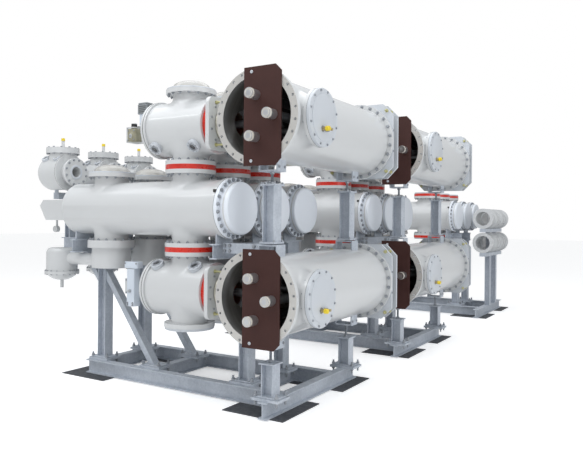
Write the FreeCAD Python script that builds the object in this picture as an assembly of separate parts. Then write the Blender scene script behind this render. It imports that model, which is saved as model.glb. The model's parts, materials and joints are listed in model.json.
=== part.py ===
"""Gas-insulated switchgear row: two complete double-busbar bays and a third breaker bay.

Everything is drawn in a drawing frame: +Z up, Z = 0 on the floor under the mats, X = 0 on
the busbar axis with +X to the busbar side, Y = 0 in the open front flange of the first bay
with +Y along the busbars to the next bays. On export the row moves so that the origin lies
on the floor at the centre of its footprint. All sizes are in millimetres.
"""
import os

import FreeCAD
import Part

V = FreeCAD.Vector
X_AXIS = V(1, 0, 0)
Y_AXIS = V(0, 1, 0)
Z_AXIS = V(0, 0, 1)

# Row layout
UPPER_Z = 2800.0
LEVEL_SPACING = 1656.0
BAY_PITCH = 3200.0
THIRD_BAY_GAP = 920.0
FIRST_PHASE_Y = 331.0
PHASE_PITCH = 625.0
PHASES = 3
MAT_T = 8.0

# Main busbar tank
BUS_R = 390.0
BUS_WALL = 10.0
BUS_FLANGE_R = 445.0
BUS_MOUTH_R = 372.0
BUS_FLANGE_T = 45.0
BUS_PCD_R = 420.0
BUS_BOLTS = 24
BUS_HOLE_R = 13.0
BUS_LENGTH = 2180.0
BUS_REAR_FLANGE_T = 40.0
PORT_Y = 365.0
PORT_R = 230.0
PORT_FLANGE_R = 270.0
PORT_FLANGE_T = 32.0
PORT_FACE_X = 470.0
PORT_COVER_T = 34.0
VALVE_REACH = 80.0
INLET_R = 150.0
INLET_FLANGE_R = 200.0
INLET_FACE_X = 470.0
INLET_FLANGE_T = 26.0

# Bus conductors, boards and compensator
COND_R = 46.0
COND_REACH = 135.0
COND_REAR_Y = 2090.0
COND_SINGLE_X = 195.0
COND_PAIR_X = 8.0
COND_PAIR_Z = 191.0
CONE_R = 110.0
CONE_T = 60.0
INSULATOR_T = 34.0
BOARD_T = 12.0
BOARD_X0 = -126.0
BOARD_X1 = 277.0
BOARD_HALF_Z = 450.0
BOARD_CHAMFER = 62.0
SQUARE_HALF = 436.0
SQUARE_CHAMFER = 130.0
SQUARE_T = 30.0
SQUARE_GAP = 110.0
SQUARE_BORE_R = 330.0
COMP_R = 372.0
COMP_FOLD = 22.0
COMP_FOLDS = 4
TIE_R = 11.0

# Circuit breaker, one per phase
BREAKER_R = 288.0
BREAKER_WALL = 10.0
BREAKER_LEFT_X = -2820.0
BREAKER_DISH = 130.0
BREAKER_FLANGE_X = -505.0
BREAKER_FLANGE_R = 305.0
BREAKER_FLANGE_T = 36.0
BREAKER_FACE = 394.0
COVER_FACE_X = -370.0
COVER_R = 262.0
COVER_DISC_R = 241.0
BUS_SIDE_X = -1041.0
LINE_SIDE_X = -2200.0
NECK_R = 188.0
NECK_WALL = 9.0
NECK_FLANGE_R = 260.0
NECK_FLANGE_T = 42.0
RING_T = 50.0
RISER_R = 38.0

# Breaker interrupter
FIXED_R = 85.0
FIXED_X0 = -1560.0
FIXED_X1 = -900.0
SOCKET_DEPTH = 130.0
MOVING_R = 58.0
MOVING_X0 = -2480.0
MOVING_X1 = -1700.0
SLEEVE_R = 92.0
SLEEVE_X0 = -2380.0
SLEEVE_X1 = -1960.0
RUN_FIT = 0.05
PULL_ROD_R = 24.0
PULL_ROD_X = -2930.0
DRIVE_X0 = -3290.0
DRIVE_HALF_Y = 130.0
DRIVE_TOP = 105.0
DRIVE_BOTTOM = 135.0
DRIVE_WALL = 8.0
GAUGE_R = 38.0

# Disconnector, one per phase and level
DISC_R = 280.0
DISC_WALL = 8.0
DISC_LEFT_X = -1437.0
DISC_RIGHT_X = -690.0
DISC_FLANGE_R = 300.0
DISC_FLANGE_T = 26.0
DISC_RED_T = 48.0
DISC_RED_R = 250.0
SQ_FLANGE_HALF = 262.0
SQ_FLANGE_R = 70.0
SQ_FLANGE_T = 44.0
END_COVER_T = 30.0
BLOCK_R = 78.0
BLOCK_X0 = -1160.0
BLOCK_X1 = -960.0
ROD_R = 34.0
ROD_TAIL_R = 20.0
ROD_TRAVEL = 150.0
ROD_TIP_X = -975.0
POST_INS_R = 70.0
POST_INS_BORE = 44.0
BUS_TAP_R = 40.0
TAP_SOCKET = 60.0
CRANK_LEN = 430.0
SHAFT_BACK = 255.0
CRANK_HALF_Y = 80.0
CRANK_HALF_Z = 105.0
CRANK_WALL = 8.0
PINION_R = 34.8
SHAFT_R = 16.0
SHAFT_DROP = 55.0
SHAFT_BEYOND = 120.0
MOTOR_X = 140.0
MOTOR_Y = 110.0
MOTOR_Z = 125.0
MOTOR_RISE = 198.0
MOTOR_OFFSET = 35.0
LOW_DRIVE_RISE = 186.0
LOW_DRIVE_DROP = 221.0
LOW_DRIVE_HEAD = 70.0
LOW_DRIVE_HALF = 57.0
VIEW_R = 70.0
VIEW_LEN = 46.0
VIEW_TILT = (55.0, 45.0)
VIEW_INSET = (101.0, 140.0)

# Branch bellows between disconnector and busbar
FOLD_R = 178.0
FOLD_ROOT = 150.0
FOLD_COUNT = 4
ROD_SPREAD = 208.0

# Line side
DOME_R = 205.0
DOME_H = 90.0
DOME_RIM_T = 14.0
STUB_R = 215.0
STUB_LEN = 268.0
LINE_PIPE_R = 72.0
LINE_PIPE_DROP = 1412.0
LINE_TANK_X = -3040.0
LOW_TANK_R = 180.0
LOW_TANK_TOP = 1290.0
LOW_TANK_BOTTOM = 1600.0
LOW_DISH = 80.0
HIGH_TANK_R = 218.0
HIGH_TANK_DROP = 395.0
HIGH_TANK_X0 = -3330.0
HIGH_TANK_X1 = -2800.0
HIGH_SEAM_X = -2905.0
HIGH_DISH = 108.0
HIGH_FLANGE_R = 166.0
HIGH_BORE_R = 60.0
HIGH_COVER_R = 190.0
HIGH_COVER_RISE = 300.0

# Duct pieces beside the third bay
DUCT_START = 230.0
DUCT_PITCH = 480.0
DUCT_LEN = 380.0
DUCT_R = 150.0
DUCT_RING_R = 200.0
DUCT_X = 20.0
DUCT_DROPS = (880.0, 1360.0)
DUCT_BEAM_H = 70.0
DUCT_SEAT = 0.3

# Skid and steelwork
BEAM_H = 160.0
BEAM_W = 100.0
BEAM_WEB = 8.0
BEAM_FLANGE = 12.0
SKID_LEFT_X = -2790.0
SKID_FRONT_Y = 540.0
SKID_REAR_Y = 1570.0
SIDE_Y0 = 140.0
SIDE_Y1 = 2060.0
SKID_RAILS_X = (-2660.0, -1810.0, -535.0)
POST_W = 125.0
POST_WEB = 8.0
POST_FLANGE = 10.0
POSTS_X = (-2640.0, -535.0)
POSTS_Y = (650.0, 1320.0)
PLATE_T = 25.0
PLATE_W = 300.0
PLATE_D = 220.0
TOP_BEAM_DROP = 1180.0
TOP_BEAM_H = 150.0
TOP_BEAM_W = 90.0
TOP_LEFT_X = -3394.0
TOP_RIGHT_X = -420.0
CANTILEVER_X1 = -2540.0
SHORT_BEAM_X0 = -700.0
CROSS_X = (-2640.0, -600.0)
CROSS_Y0 = 150.0
CROSS_Y1 = 1790.0
BRACE_W = 90.0
STAND_Y = (280.0, 1873.0)
STAND_W = 130.0
HIGH_POST_TOP = 617.0
HIGH_POST_BOTTOM = 1146.0
LOW_POST_TOP = 2281.0
JACK_R = 14.0
BRACKET_T = 16.0
BRACKET_W = 150.0
BRACKET_CHEEK_X = 100.0
CHEEK_T = 14.0
LINK_H = 100.0
LINK_CLEAR = 4.0
MAT_W = 700.0
MAT_BACK = 640.0

# Values that follow from the ones above
LOWER_Z = UPPER_Z - LEVEL_SPACING
BREAKER_Z = 0.5 * (UPPER_Z + LOWER_Z)
DISC_FACE = LEVEL_SPACING / 2 - BREAKER_FACE - RING_T
BAY_Y = (0.0, BAY_PITCH, 2 * BAY_PITCH + THIRD_BAY_GAP)
FULL_BAYS = BAY_Y[:2]
SKID_TOP = MAT_T + BEAM_H
TOP_BEAM_Z = UPPER_Z - TOP_BEAM_DROP
GAPS_Y = tuple(FIRST_PHASE_Y + (k + 0.5) * PHASE_PITCH for k in range(PHASES - 1))
RED_X1 = DISC_RIGHT_X + DISC_RED_T
SQ_X1 = RED_X1 + SQ_FLANGE_T
CRANK_X1 = DISC_LEFT_X - END_COVER_T
CRANK_X0 = CRANK_X1 - CRANK_LEN
FOOTPRINT_X = (TOP_LEFT_X, PORT_FACE_X + PORT_COVER_T + VALVE_REACH)
FOOTPRINT_Y = (-COND_REACH, BAY_Y[2] + SIDE_Y1 - MAT_BACK + MAT_W)
ORIGIN_X = 0.5 * sum(FOOTPRINT_X)
ORIGIN_Y = 0.5 * sum(FOOTPRINT_Y)


def cyl(radius, length, base, axis=Z_AXIS):
    """Return a solid cylinder from a base point along an axis."""
    return Part.makeCylinder(radius, length, base, axis)


def tube(outer, inner, length, base, axis=Z_AXIS):
    """Return a hollow cylinder."""
    return cyl(outer, length, base, axis).cut(cyl(inner, length, base, axis))


def box(x0, x1, y0, y1, z0, z1):
    """Return a box between two corners."""
    return Part.makeBox(x1 - x0, y1 - y0, z1 - z0, V(x0, y0, z0))


def moved(shape, x=0.0, y=0.0, z=0.0):
    """Return a moved copy of a shape."""
    copy = shape.copy()
    copy.translate(V(x, y, z))
    return copy


def fuse(shapes):
    """Return one solid made of all shapes."""
    return shapes[0].multiFuse(shapes[1:]).removeSplitter()


def revolved(points, axis, base=V(0, 0, 0)):
    """Revolve (along, radius) points, joined by lines or three-point arcs, about an axis."""
    radial = Z_AXIS if axis is not Z_AXIS else X_AXIS
    place = [base + axis * p[0] + radial * p[1] for p in points]
    edges = []
    i = 0
    while i < len(points) - 1:
        if len(points[i + 1]) == 3:
            edges.append(Part.Arc(place[i], place[i + 1], place[i + 2]).toShape())
            i += 2
        else:
            edges.append(Part.makeLine(place[i], place[i + 1]))
            i += 1
    edges.append(Part.makeLine(place[-1], place[0]))
    return Part.Face(Part.Wire(edges)).revolve(base, axis, 360)


def dished(x0, x1, radius, depth):
    """Return a solid cylinder along X whose left end is a dish of the given depth."""
    knee = 0.72
    points = [(x0, 0.0), (x0 + depth * 0.30, radius * knee, "arc"), (x0 + depth, radius)]
    return revolved(points + [(x1, radius), (x1, 0.0)], X_AXIS)


def bolt_circle(shape, count, pcd_r, hole_r, base, axis, depth, start=0.0):
    """Cut a circle of holes into a flange."""
    radial = Z_AXIS if axis is not Z_AXIS else X_AXIS
    holes = []
    for k in range(count):
        hole = cyl(hole_r, depth, base + radial * pcd_r, axis)
        hole.rotate(base, axis, start + k * 360.0 / count)
        holes.append(hole)
    return shape.cut(Part.makeCompound(holes))


def h_beam(length, height, width, web, flange):
    """Return an H section along X, centred in Y, with its underside at Z = 0."""
    half = width / 2
    low = box(0, length, -half, half, 0, flange)
    high = box(0, length, -half, half, height - flange, height)
    mid = box(0, length, -web / 2, web / 2, flange, height - flange)
    return fuse([low, high, mid])


def beam_x(x0, x1, y, z, height=BEAM_H, width=BEAM_W):
    """Return a beam along X."""
    return moved(h_beam(x1 - x0, height, width, BEAM_WEB, BEAM_FLANGE), x0, y, z)


def beam_y(y0, y1, x, z, height=BEAM_H, width=BEAM_W):
    """Return a beam along Y."""
    beam = h_beam(y1 - y0, height, width, BEAM_WEB, BEAM_FLANGE)
    beam.rotate(V(0, 0, 0), Z_AXIS, 90)
    return moved(beam, x, y0, z)


def post(x, y, z0, z1, width=POST_W):
    """Return an upright H post whose flanges face the X direction."""
    beam = h_beam(z1 - z0, width, width, POST_WEB, POST_FLANGE)
    beam.rotate(V(0, 0, 0), Y_AXIS, -90)
    return moved(beam, x + width / 2, y, z0)


def phases(origin):
    """Return the Y of each phase of a bay."""
    return [origin + FIRST_PHASE_Y + k * PHASE_PITCH for k in range(PHASES)]


def neck(x, z, face, up, outer=NECK_R):
    """Return the outside of one flanged neck at the tank axis height z."""
    axis = Z_AXIS * (1 if up else -1)
    stem = cyl(outer, face, V(x, 0, z), axis)
    flange = cyl(NECK_FLANGE_R, NECK_FLANGE_T, V(x, 0, z) + axis * (face - NECK_FLANGE_T), axis)
    return [stem, flange]


def neck_bore(x, z, face, up):
    """Return the bore of one neck."""
    return cyl(NECK_R - NECK_WALL, face + 1, V(x, 0, z), Z_AXIS * (1 if up else -1))


def busbar_tank(z):
    """Main busbar tank with an open front flange, three inlets and an access port."""
    rear = BUS_LENGTH - BUS_REAR_FLANGE_T
    body = [
        cyl(BUS_FLANGE_R, BUS_FLANGE_T, V(0, 0, z), Y_AXIS),
        cyl(BUS_R, BUS_LENGTH, V(0, 0, z), Y_AXIS),
        cyl(BUS_FLANGE_R, BUS_REAR_FLANGE_T, V(0, rear, z), Y_AXIS),
        cyl(PORT_R, PORT_FACE_X, V(0, PORT_Y, z), X_AXIS),
        cyl(PORT_FLANGE_R, PORT_FLANGE_T, V(PORT_FACE_X - PORT_FLANGE_T, PORT_Y, z), X_AXIS),
    ]
    bores = [
        cyl(BUS_MOUTH_R, BUS_FLANGE_T, V(0, 0, z), Y_AXIS),
        cyl(BUS_R - BUS_WALL, rear - BUS_FLANGE_T, V(0, BUS_FLANGE_T, z), Y_AXIS),
        cyl(BUS_MOUTH_R, BUS_REAR_FLANGE_T, V(0, rear, z), Y_AXIS),
        cyl(PORT_R - BUS_WALL, PORT_FACE_X, V(0, PORT_Y, z), X_AXIS),
    ]
    for y in phases(0.0):
        left = -INLET_FACE_X
        body.append(cyl(INLET_R, INLET_FACE_X, V(left, y, z), X_AXIS))
        body.append(cyl(INLET_FLANGE_R, INLET_FLANGE_T, V(left, y, z), X_AXIS))
        bores.append(cyl(INLET_R - BUS_WALL, INLET_FACE_X, V(left, y, z), X_AXIS))
    tank = fuse(body).cut(Part.makeCompound(bores))
    step = 360.0 / BUS_BOLTS
    tank = bolt_circle(tank, BUS_BOLTS, BUS_PCD_R, BUS_HOLE_R, V(0, 0, z), Y_AXIS, BUS_FLANGE_T, step / 2)
    return tank


def bus_conductor_places(z):
    """Return the (x, z) of the three bus conductors."""
    return [(COND_PAIR_X, z + COND_PAIR_Z), (COND_SINGLE_X, z), (COND_PAIR_X, z - COND_PAIR_Z)]


def bus_conductors(z):
    """Three bus conductors, each with the tap that meets its own phase."""
    bars = []
    for (x, cz), y in zip(bus_conductor_places(z), phases(0.0)):
        bar = cyl(COND_R, COND_REAR_Y + COND_REACH, V(x, -COND_REACH, cz), Y_AXIS)
        bars.append(bar)
    return bars


def bus_insulator(z):
    """Rear disc insulator that carries the three bus conductors."""
    y0 = COND_REAR_Y - INSULATOR_T
    disc = cyl(BUS_R - BUS_WALL, INSULATOR_T, V(0, y0, z), Y_AXIS)
    hubs = [cyl(CONE_R, CONE_T, V(x, y0 - CONE_T, cz), Y_AXIS) for x, cz in bus_conductor_places(z)]
    bars = [cyl(COND_R, INSULATOR_T + CONE_T + 2, V(x, y0 - CONE_T - 1, cz), Y_AXIS)
            for x, cz in bus_conductor_places(z)]
    return fuse([disc] + hubs).cut(Part.makeCompound(bars))


def bus_taps(z):
    """Taps that lead from each disconnector spacer to the bus conductors."""
    taps = []
    for (cx, cz), y in zip(bus_conductor_places(z), phases(0.0)):
        lead = cyl(BUS_TAP_R, cx - COND_R * 0.5 - RED_X1, V(RED_X1, y, z), X_AXIS)
        pieces = [lead]
        if abs(cz - z) > 1:
            z0 = min(cz, z)
            pieces = [cyl(BUS_TAP_R, cx - RED_X1, V(RED_X1, y, z), X_AXIS)]
            pieces.append(cyl(BUS_TAP_R, abs(cz - z), V(cx, y, z0), Z_AXIS))
        bars = cyl(COND_R, COND_REAR_Y + COND_REACH, V(cx, -COND_REACH, cz), Y_AXIS)
        taps.append(fuse(pieces).cut(bars))
    return taps


def transport_board(z):
    """Board over the front flange, chamfered on the right, with the conductor holes."""
    x1, c, h = BOARD_X1, BOARD_CHAMFER, BOARD_HALF_Z
    points = [(BOARD_X0, -h), (x1 - c, -h), (x1, -h + c), (x1, h - c), (x1 - c, h), (BOARD_X0, h)]
    wire = Part.makePolygon([V(px, -BOARD_T, z + pz) for px, pz in points + points[:1]])
    board = Part.Face(wire).extrude(V(0, BOARD_T, 0))
    holes = [cyl(COND_R, BOARD_T + 2, V(x, -BOARD_T - 1, cz), Y_AXIS) for x, cz in bus_conductor_places(z)]
    return board.cut(Part.makeCompound(holes))


def port_cover(z):
    """Blank cover of the access port with a raised rim."""
    disc = cyl(PORT_FLANGE_R, PORT_COVER_T, V(PORT_FACE_X, PORT_Y, z), X_AXIS)
    return disc.makeChamfer(4, [disc.Edges[0]])


def gas_valve(z):
    """Gas filling valve with its cap, low on the access port cover."""
    base = V(PORT_FACE_X + PORT_COVER_T, PORT_Y - 30, z - 105)
    body = cyl(17, VALVE_REACH - 36, base, X_AXIS)
    cap = cyl(24, 36, base + V(VALVE_REACH - 36, 0, 0), X_AXIS)
    side = cyl(13, 60, base + V(22, 0, 0), Y_AXIS)
    head = cyl(21, 30, base + V(22, 60, 0), Y_AXIS)
    return fuse([body, cap, side, head])


def square_plate(y, z):
    """Square compensator plate with cut corners."""
    s, c = SQUARE_HALF, SQUARE_CHAMFER
    ring = [(-s, -s + c), (-s + c, -s), (s - c, -s), (s, -s + c)]
    ring += [(s, s - c), (s - c, s), (-s + c, s), (-s, s - c)]
    wire = Part.makePolygon([V(px, y, z + pz) for px, pz in ring + ring[:1]])
    plate = Part.Face(wire).extrude(V(0, SQUARE_T, 0))
    return plate.cut(cyl(SQUARE_BORE_R, SQUARE_T + 2, V(0, y - 1, z), Y_AXIS))


def folded_bellows(axis, base, length, crest, root, bore, folds):
    """Bellows with rounded folds, open through its bore."""
    pitch = length / folds
    points = [(0.0, bore), (0.0, root)]
    for k in range(folds):
        start = k * pitch
        points.append((start + pitch * 0.25, root))
        points.append((start + pitch * 0.5, crest, "arc"))
        points.append((start + pitch * 0.75, root))
    points.append((length, root))
    points.append((length, bore))
    return revolved(points, axis, base)


def compensator_bellows(z):
    """Bellows between the two square plates behind a busbar tank, with flat topped folds."""
    base = V(0, BUS_LENGTH + SQUARE_T, z)
    pitch = SQUARE_GAP / COMP_FOLDS
    root = COMP_R - COMP_FOLD
    points = [(0.0, SQUARE_BORE_R), (0.0, root)]
    for k in range(COMP_FOLDS):
        for share, radius in ((0.2, root), (0.35, COMP_R), (0.65, COMP_R), (0.8, root)):
            points.append(((k + share) * pitch, radius))
    points += [(SQUARE_GAP, root), (SQUARE_GAP, SQUARE_BORE_R)]
    return revolved(points, Y_AXIS, base)


def corner_ties(z):
    """Four corner studs that hold the two square plates together."""
    at = SQUARE_HALF - SQUARE_CHAMFER * 0.62
    y0 = BUS_LENGTH + SQUARE_T
    return [cyl(TIE_R, SQUARE_GAP, V(sx * at, y0, z + sz * at), Y_AXIS) for sx in (-1, 1) for sz in (-1, 1)]


def breaker_tank():
    """Breaker tank along X with two necks up, two necks down and an open right flange."""
    z = BREAKER_Z
    outer = [dished(BREAKER_LEFT_X, BREAKER_FLANGE_X, BREAKER_R, BREAKER_DISH)]
    rim = V(BREAKER_FLANGE_X - BREAKER_FLANGE_T, 0, 0)
    outer.append(cyl(BREAKER_FLANGE_R, BREAKER_FLANGE_T, rim, X_AXIS))
    outer = [moved(s, z=z) for s in outer]
    bores = [moved(dished(BREAKER_LEFT_X + BREAKER_WALL, BREAKER_FLANGE_X + 1, BREAKER_R - BREAKER_WALL,
                          BREAKER_DISH), z=z)]
    for x in (BUS_SIDE_X, LINE_SIDE_X):
        for up in (True, False):
            outer += neck(x, z, BREAKER_FACE, up)
            bores.append(neck_bore(x, z, BREAKER_FACE, up))
    bores.append(cyl(PULL_ROD_R + RUN_FIT, 60, V(BREAKER_LEFT_X - 20, 0, z), X_AXIS))
    tank = fuse(outer).cut(Part.makeCompound(bores))
    return tank


def breaker_cover():
    """Right end cover: flange, short barrel with a rounded shoulder and a flat disc face."""
    x0, x1, t = BREAKER_FLANGE_X, COVER_FACE_X, BREAKER_FLANGE_T
    r, d, w = COVER_R, COVER_DISC_R, BREAKER_WALL
    shoulder = r - d
    outer = [(x0, r - w), (x0, BREAKER_FLANGE_R), (x0 + t, BREAKER_FLANGE_R), (x0 + t, r), (x1 - shoulder, r),
             (x1 - shoulder * 0.29, r - shoulder * 0.29, "arc"), (x1, d), (x1, 0.0), (x1 - w, 0.0),
             (x1 - w, d - w), (x1 - shoulder - w, r - w)]
    return moved(revolved(outer, X_AXIS), z=BREAKER_Z)


def breaker_drive():
    """Drive housing on the left dish, slanted below, with a density gauge under it."""
    z = BREAKER_Z
    x0, x1 = DRIVE_X0, BREAKER_LEFT_X + BREAKER_DISH * 0.6
    half = DRIVE_HALF_Y

    def block(inset):
        top, bottom = z + DRIVE_TOP - inset, z - DRIVE_BOTTOM + inset
        points = [(x0 + inset, z + DRIVE_TOP * 0.35), (x0 + 60, top), (x1, top), (x1, bottom), (x0 + 110, bottom)]
        wire = Part.makePolygon([V(px, -half + inset, pz) for px, pz in points + points[:1]])
        return Part.Face(wire).extrude(V(0, 2 * (half - inset), 0))

    dish = moved(dished(BREAKER_LEFT_X, BREAKER_FLANGE_X, BREAKER_R, BREAKER_DISH), z=z)
    housing = block(0.0).cut(block(DRIVE_WALL)).cut(dish)
    return max(housing.Solids, key=lambda s: s.Volume)


def breaker_gauge():
    """Round gas density gauge on its stem under the drive housing."""
    z = BREAKER_Z - DRIVE_BOTTOM
    x = DRIVE_X0 + 150
    stem = cyl(12, 70, V(x, 0, z - 70), Z_AXIS)
    dial = cyl(GAUGE_R, 46, V(x, -30, z - 70 - GAUGE_R), Y_AXIS)
    return fuse([stem, dial])


def riser(x, z0, z1):
    """Vertical conductor between two heights."""
    return cyl(RISER_R, z1 - z0, V(x, 0, z0), Z_AXIS)


def fixed_contact():
    """Fixed arcing contact with its risers to both disconnectors."""
    z = BREAKER_Z
    bar = cyl(FIXED_R, FIXED_X1 - FIXED_X0, V(FIXED_X0, 0, z), X_AXIS)
    bar = fuse([bar, riser(BUS_SIDE_X, LOWER_Z + BLOCK_R - 20, UPPER_Z - BLOCK_R + 20)])
    bar = bar.cut(cyl(MOVING_R + 1.0, SOCKET_DEPTH, V(FIXED_X0, 0, z), X_AXIS))
    length = BLOCK_X1 - BLOCK_X0
    blocks = [cyl(BLOCK_R, length, V(BLOCK_X0, 0, level), X_AXIS) for level in (LOWER_Z, UPPER_Z)]
    return bar.cut(Part.makeCompound(blocks))


def contact_sleeve(stub):
    """Sleeve that guides the moving contact, with its risers to the line side."""
    z = BREAKER_Z
    low = z - BREAKER_FACE - (STUB_LEN if stub else 0.0)
    sleeve = cyl(SLEEVE_R, SLEEVE_X1 - SLEEVE_X0, V(SLEEVE_X0, 0, z), X_AXIS)
    body = fuse([sleeve, riser(LINE_SIDE_X, low + 20, z + BREAKER_FACE - 60)])
    return body.cut(cyl(MOVING_R + RUN_FIT, SLEEVE_X1 - SLEEVE_X0, V(SLEEVE_X0, 0, z), X_AXIS))


def sleeve_support():
    """Insulating tube that carries the sleeve from the left dish."""
    z = BREAKER_Z
    x0 = BREAKER_LEFT_X + BREAKER_WALL
    ring = tube(SLEEVE_R, SLEEVE_R - 16, SLEEVE_X0 - x0, V(x0, 0, z), X_AXIS)
    inner = moved(dished(x0, BREAKER_FLANGE_X, BREAKER_R - BREAKER_WALL, BREAKER_DISH), z=z)
    return ring.common(inner)


def moving_contact():
    """Moving contact with its pull rod out to the drive."""
    z = BREAKER_Z
    contact = cyl(MOVING_R, MOVING_X1 - MOVING_X0, V(MOVING_X0, 0, z), X_AXIS)
    nose = contact.makeFillet(14, [e for e in contact.Edges if abs(e.BoundBox.XMin - MOVING_X1) < 0.01][:1])
    rod = cyl(PULL_ROD_R, MOVING_X0 - PULL_ROD_X, V(PULL_ROD_X, 0, z), X_AXIS)
    return fuse([nose, rod])


def neck_ring(x, z):
    """Barrier insulator between two necks, its rim level with the flanges."""
    disc = cyl(NECK_FLANGE_R, RING_T, V(x, 0, z), Z_AXIS)
    return disc.cut(cyl(RISER_R, RING_T + 2, V(x, 0, z - 1), Z_AXIS))


def end_ring(z):
    """Barrier insulator on the busbar end of a disconnector, with its contact socket."""
    disc = cyl(DISC_RED_R, DISC_RED_T, V(DISC_RIGHT_X, 0, z), X_AXIS)
    return disc


def disconnector_tank(z, outward):
    """Disconnector tank with one neck to the breaker and one closed by a dust cover."""
    length = DISC_RIGHT_X - DISC_LEFT_X
    outer = [
        cyl(DISC_R, length, V(DISC_LEFT_X, 0, z), X_AXIS),
        cyl(DISC_FLANGE_R, DISC_FLANGE_T, V(DISC_LEFT_X, 0, z), X_AXIS),
    ]
    outer += neck(BUS_SIDE_X, z, DISC_FACE, True) + neck(BUS_SIDE_X, z, DISC_FACE, False)
    bores = [cyl(DISC_R - DISC_WALL, length - DISC_WALL, V(DISC_LEFT_X, 0, z), X_AXIS),
             cyl(BUS_TAP_R + 60, length + 2, V(DISC_LEFT_X, 0, z), X_AXIS),
             neck_bore(BUS_SIDE_X, z, DISC_FACE, True), neck_bore(BUS_SIDE_X, z, DISC_FACE, False)]
    body = fuse(outer)
    ports = []
    for x, tilt in view_places(outward):
        ports.append(viewport(x, tilt, z, outward, VIEW_R - 14, DISC_R - 30))
    return body.cut(Part.makeCompound(bores + ports))


def view_places(outward):
    """Return the X and the tilt in degrees from the horizon of the two viewports of one tank."""
    tilt = VIEW_TILT[1 if outward else 0]
    return [(DISC_LEFT_X + VIEW_INSET[0], tilt), (DISC_RIGHT_X - VIEW_INSET[1], tilt)]


def viewport(x, tilt, z, outward, radius, start):
    """Return a cylinder that leaves the tank toward the front, up or down."""
    sign = 1 if outward else -1
    stub = cyl(radius, DISC_R + VIEW_LEN - start, V(x, 0, z) + Y_AXIS * (-start), Y_AXIS * -1)
    stub.rotate(V(x, 0, z), X_AXIS, sign * tilt)
    return stub


def viewport_piece(x, tilt, z, outward):
    """Viewport collar with its glass, seated on the tank wall."""
    collar = viewport(x, tilt, z, outward, VIEW_R, DISC_R - 30)
    return collar.cut(cyl(DISC_R, 800, V(x - 400, 0, z), X_AXIS))


def end_cover(z):
    """Left end cover of a disconnector with the drive rod gland."""
    x0 = DISC_LEFT_X - END_COVER_T
    plate = cyl(DISC_FLANGE_R, END_COVER_T, V(x0, 0, z), X_AXIS)
    return plate.cut(cyl(ROD_TAIL_R + RUN_FIT, END_COVER_T + 2, V(x0 - 1, 0, z), X_AXIS))


def contact_block(z):
    """Contact block with its rod bore and the hollow post insulator behind it."""
    block = cyl(BLOCK_R, BLOCK_X1 - BLOCK_X0, V(BLOCK_X0, 0, z), X_AXIS)
    block = block.cut(cyl(ROD_R + RUN_FIT, BLOCK_X1 - BLOCK_X0, V(BLOCK_X0, 0, z), X_AXIS))
    return block


def post_insulator(z):
    """Hollow post insulator from the end cover to the contact block."""
    return tube(POST_INS_R, POST_INS_BORE, BLOCK_X0 - DISC_LEFT_X, V(DISC_LEFT_X, 0, z), X_AXIS)


def contact_rod(z):
    """Moving contact rod of one disconnector with its insulating tail and flat rack."""
    head = cyl(ROD_R, ROD_TIP_X - BLOCK_X0 + 190, V(BLOCK_X0 - 190, 0, z), X_AXIS)
    tail = cyl(ROD_TAIL_R, BLOCK_X0 - 190 - CRANK_X0 - 15, V(CRANK_X0 + 15, 0, z), X_AXIS)
    return fuse([head, tail])


def crank_box(z):
    """Closed gear housing on the end cover, with the shaft bores through both sides."""
    outer = box(CRANK_X0, CRANK_X1, -CRANK_HALF_Y, CRANK_HALF_Y, z - CRANK_HALF_Z, z + CRANK_HALF_Z * 0.6)
    w = CRANK_WALL
    inner = box(CRANK_X0 + w, CRANK_X1, -CRANK_HALF_Y + w, CRANK_HALF_Y - w,
                z - CRANK_HALF_Z + w, z + CRANK_HALF_Z * 0.6 - w)
    place = V(shaft_x(), -CRANK_HALF_Y - 1, z - SHAFT_DROP)
    bore = cyl(SHAFT_R + RUN_FIT, 2 * CRANK_HALF_Y + 2, place, Y_AXIS)
    return outer.cut(inner).cut(bore)


def shaft_x():
    """Return the X of the cross shaft."""
    return CRANK_X1 - SHAFT_BACK


def cross_shaft(z):
    """Cross shaft that links the three poles, with one pinion in each housing."""
    y0 = FIRST_PHASE_Y - CRANK_HALF_Y - SHAFT_BEYOND
    y1 = FIRST_PHASE_Y + (PHASES - 1) * PHASE_PITCH + CRANK_HALF_Y + 30
    place = V(shaft_x(), 0, z - SHAFT_DROP)
    pieces = [cyl(SHAFT_R, y1 - y0, place + V(0, y0, 0), Y_AXIS)]
    for y in phases(0.0):
        pieces.append(cyl(PINION_R, 44, place + V(0, y - 22, 0), Y_AXIS))
    return fuse(pieces)


def low_motor_drive(z):
    """Motor drive of the lower level: upright cabinet with a wider head on the end of the cross shaft."""
    y1 = FIRST_PHASE_Y - CRANK_HALF_Y
    y0 = y1 - SHAFT_BEYOND + 25
    x, half, top = shaft_x(), LOW_DRIVE_HALF, z + LOW_DRIVE_RISE
    cabinet = box(x - half, x + half, y0, y1, z - LOW_DRIVE_DROP, top)
    head = box(x - half - 40, x + half + 40, y0 + 5, y1, top, top + LOW_DRIVE_HEAD)
    bore = cyl(SHAFT_R + RUN_FIT, SHAFT_BEYOND + 40, V(x, y0 - 40, z - SHAFT_DROP), Y_AXIS)
    return fuse([cabinet, head]).cut(bore)


def motor_drive(z):
    """Motor drive on the first upper pole: cabinet on its bracket above the gear housing."""
    rise = MOTOR_RISE
    top = z + CRANK_HALF_Z * 0.6
    x = shaft_x() + MOTOR_OFFSET
    cabinet = box(x - MOTOR_X / 2, x + MOTOR_X / 2, -MOTOR_Y / 2, MOTOR_Y / 2, z + rise, z + rise + MOTOR_Z)
    column = box(x - 50, x + 60, -45, 45, top, z + rise)
    return fuse([cabinet, column])


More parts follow.
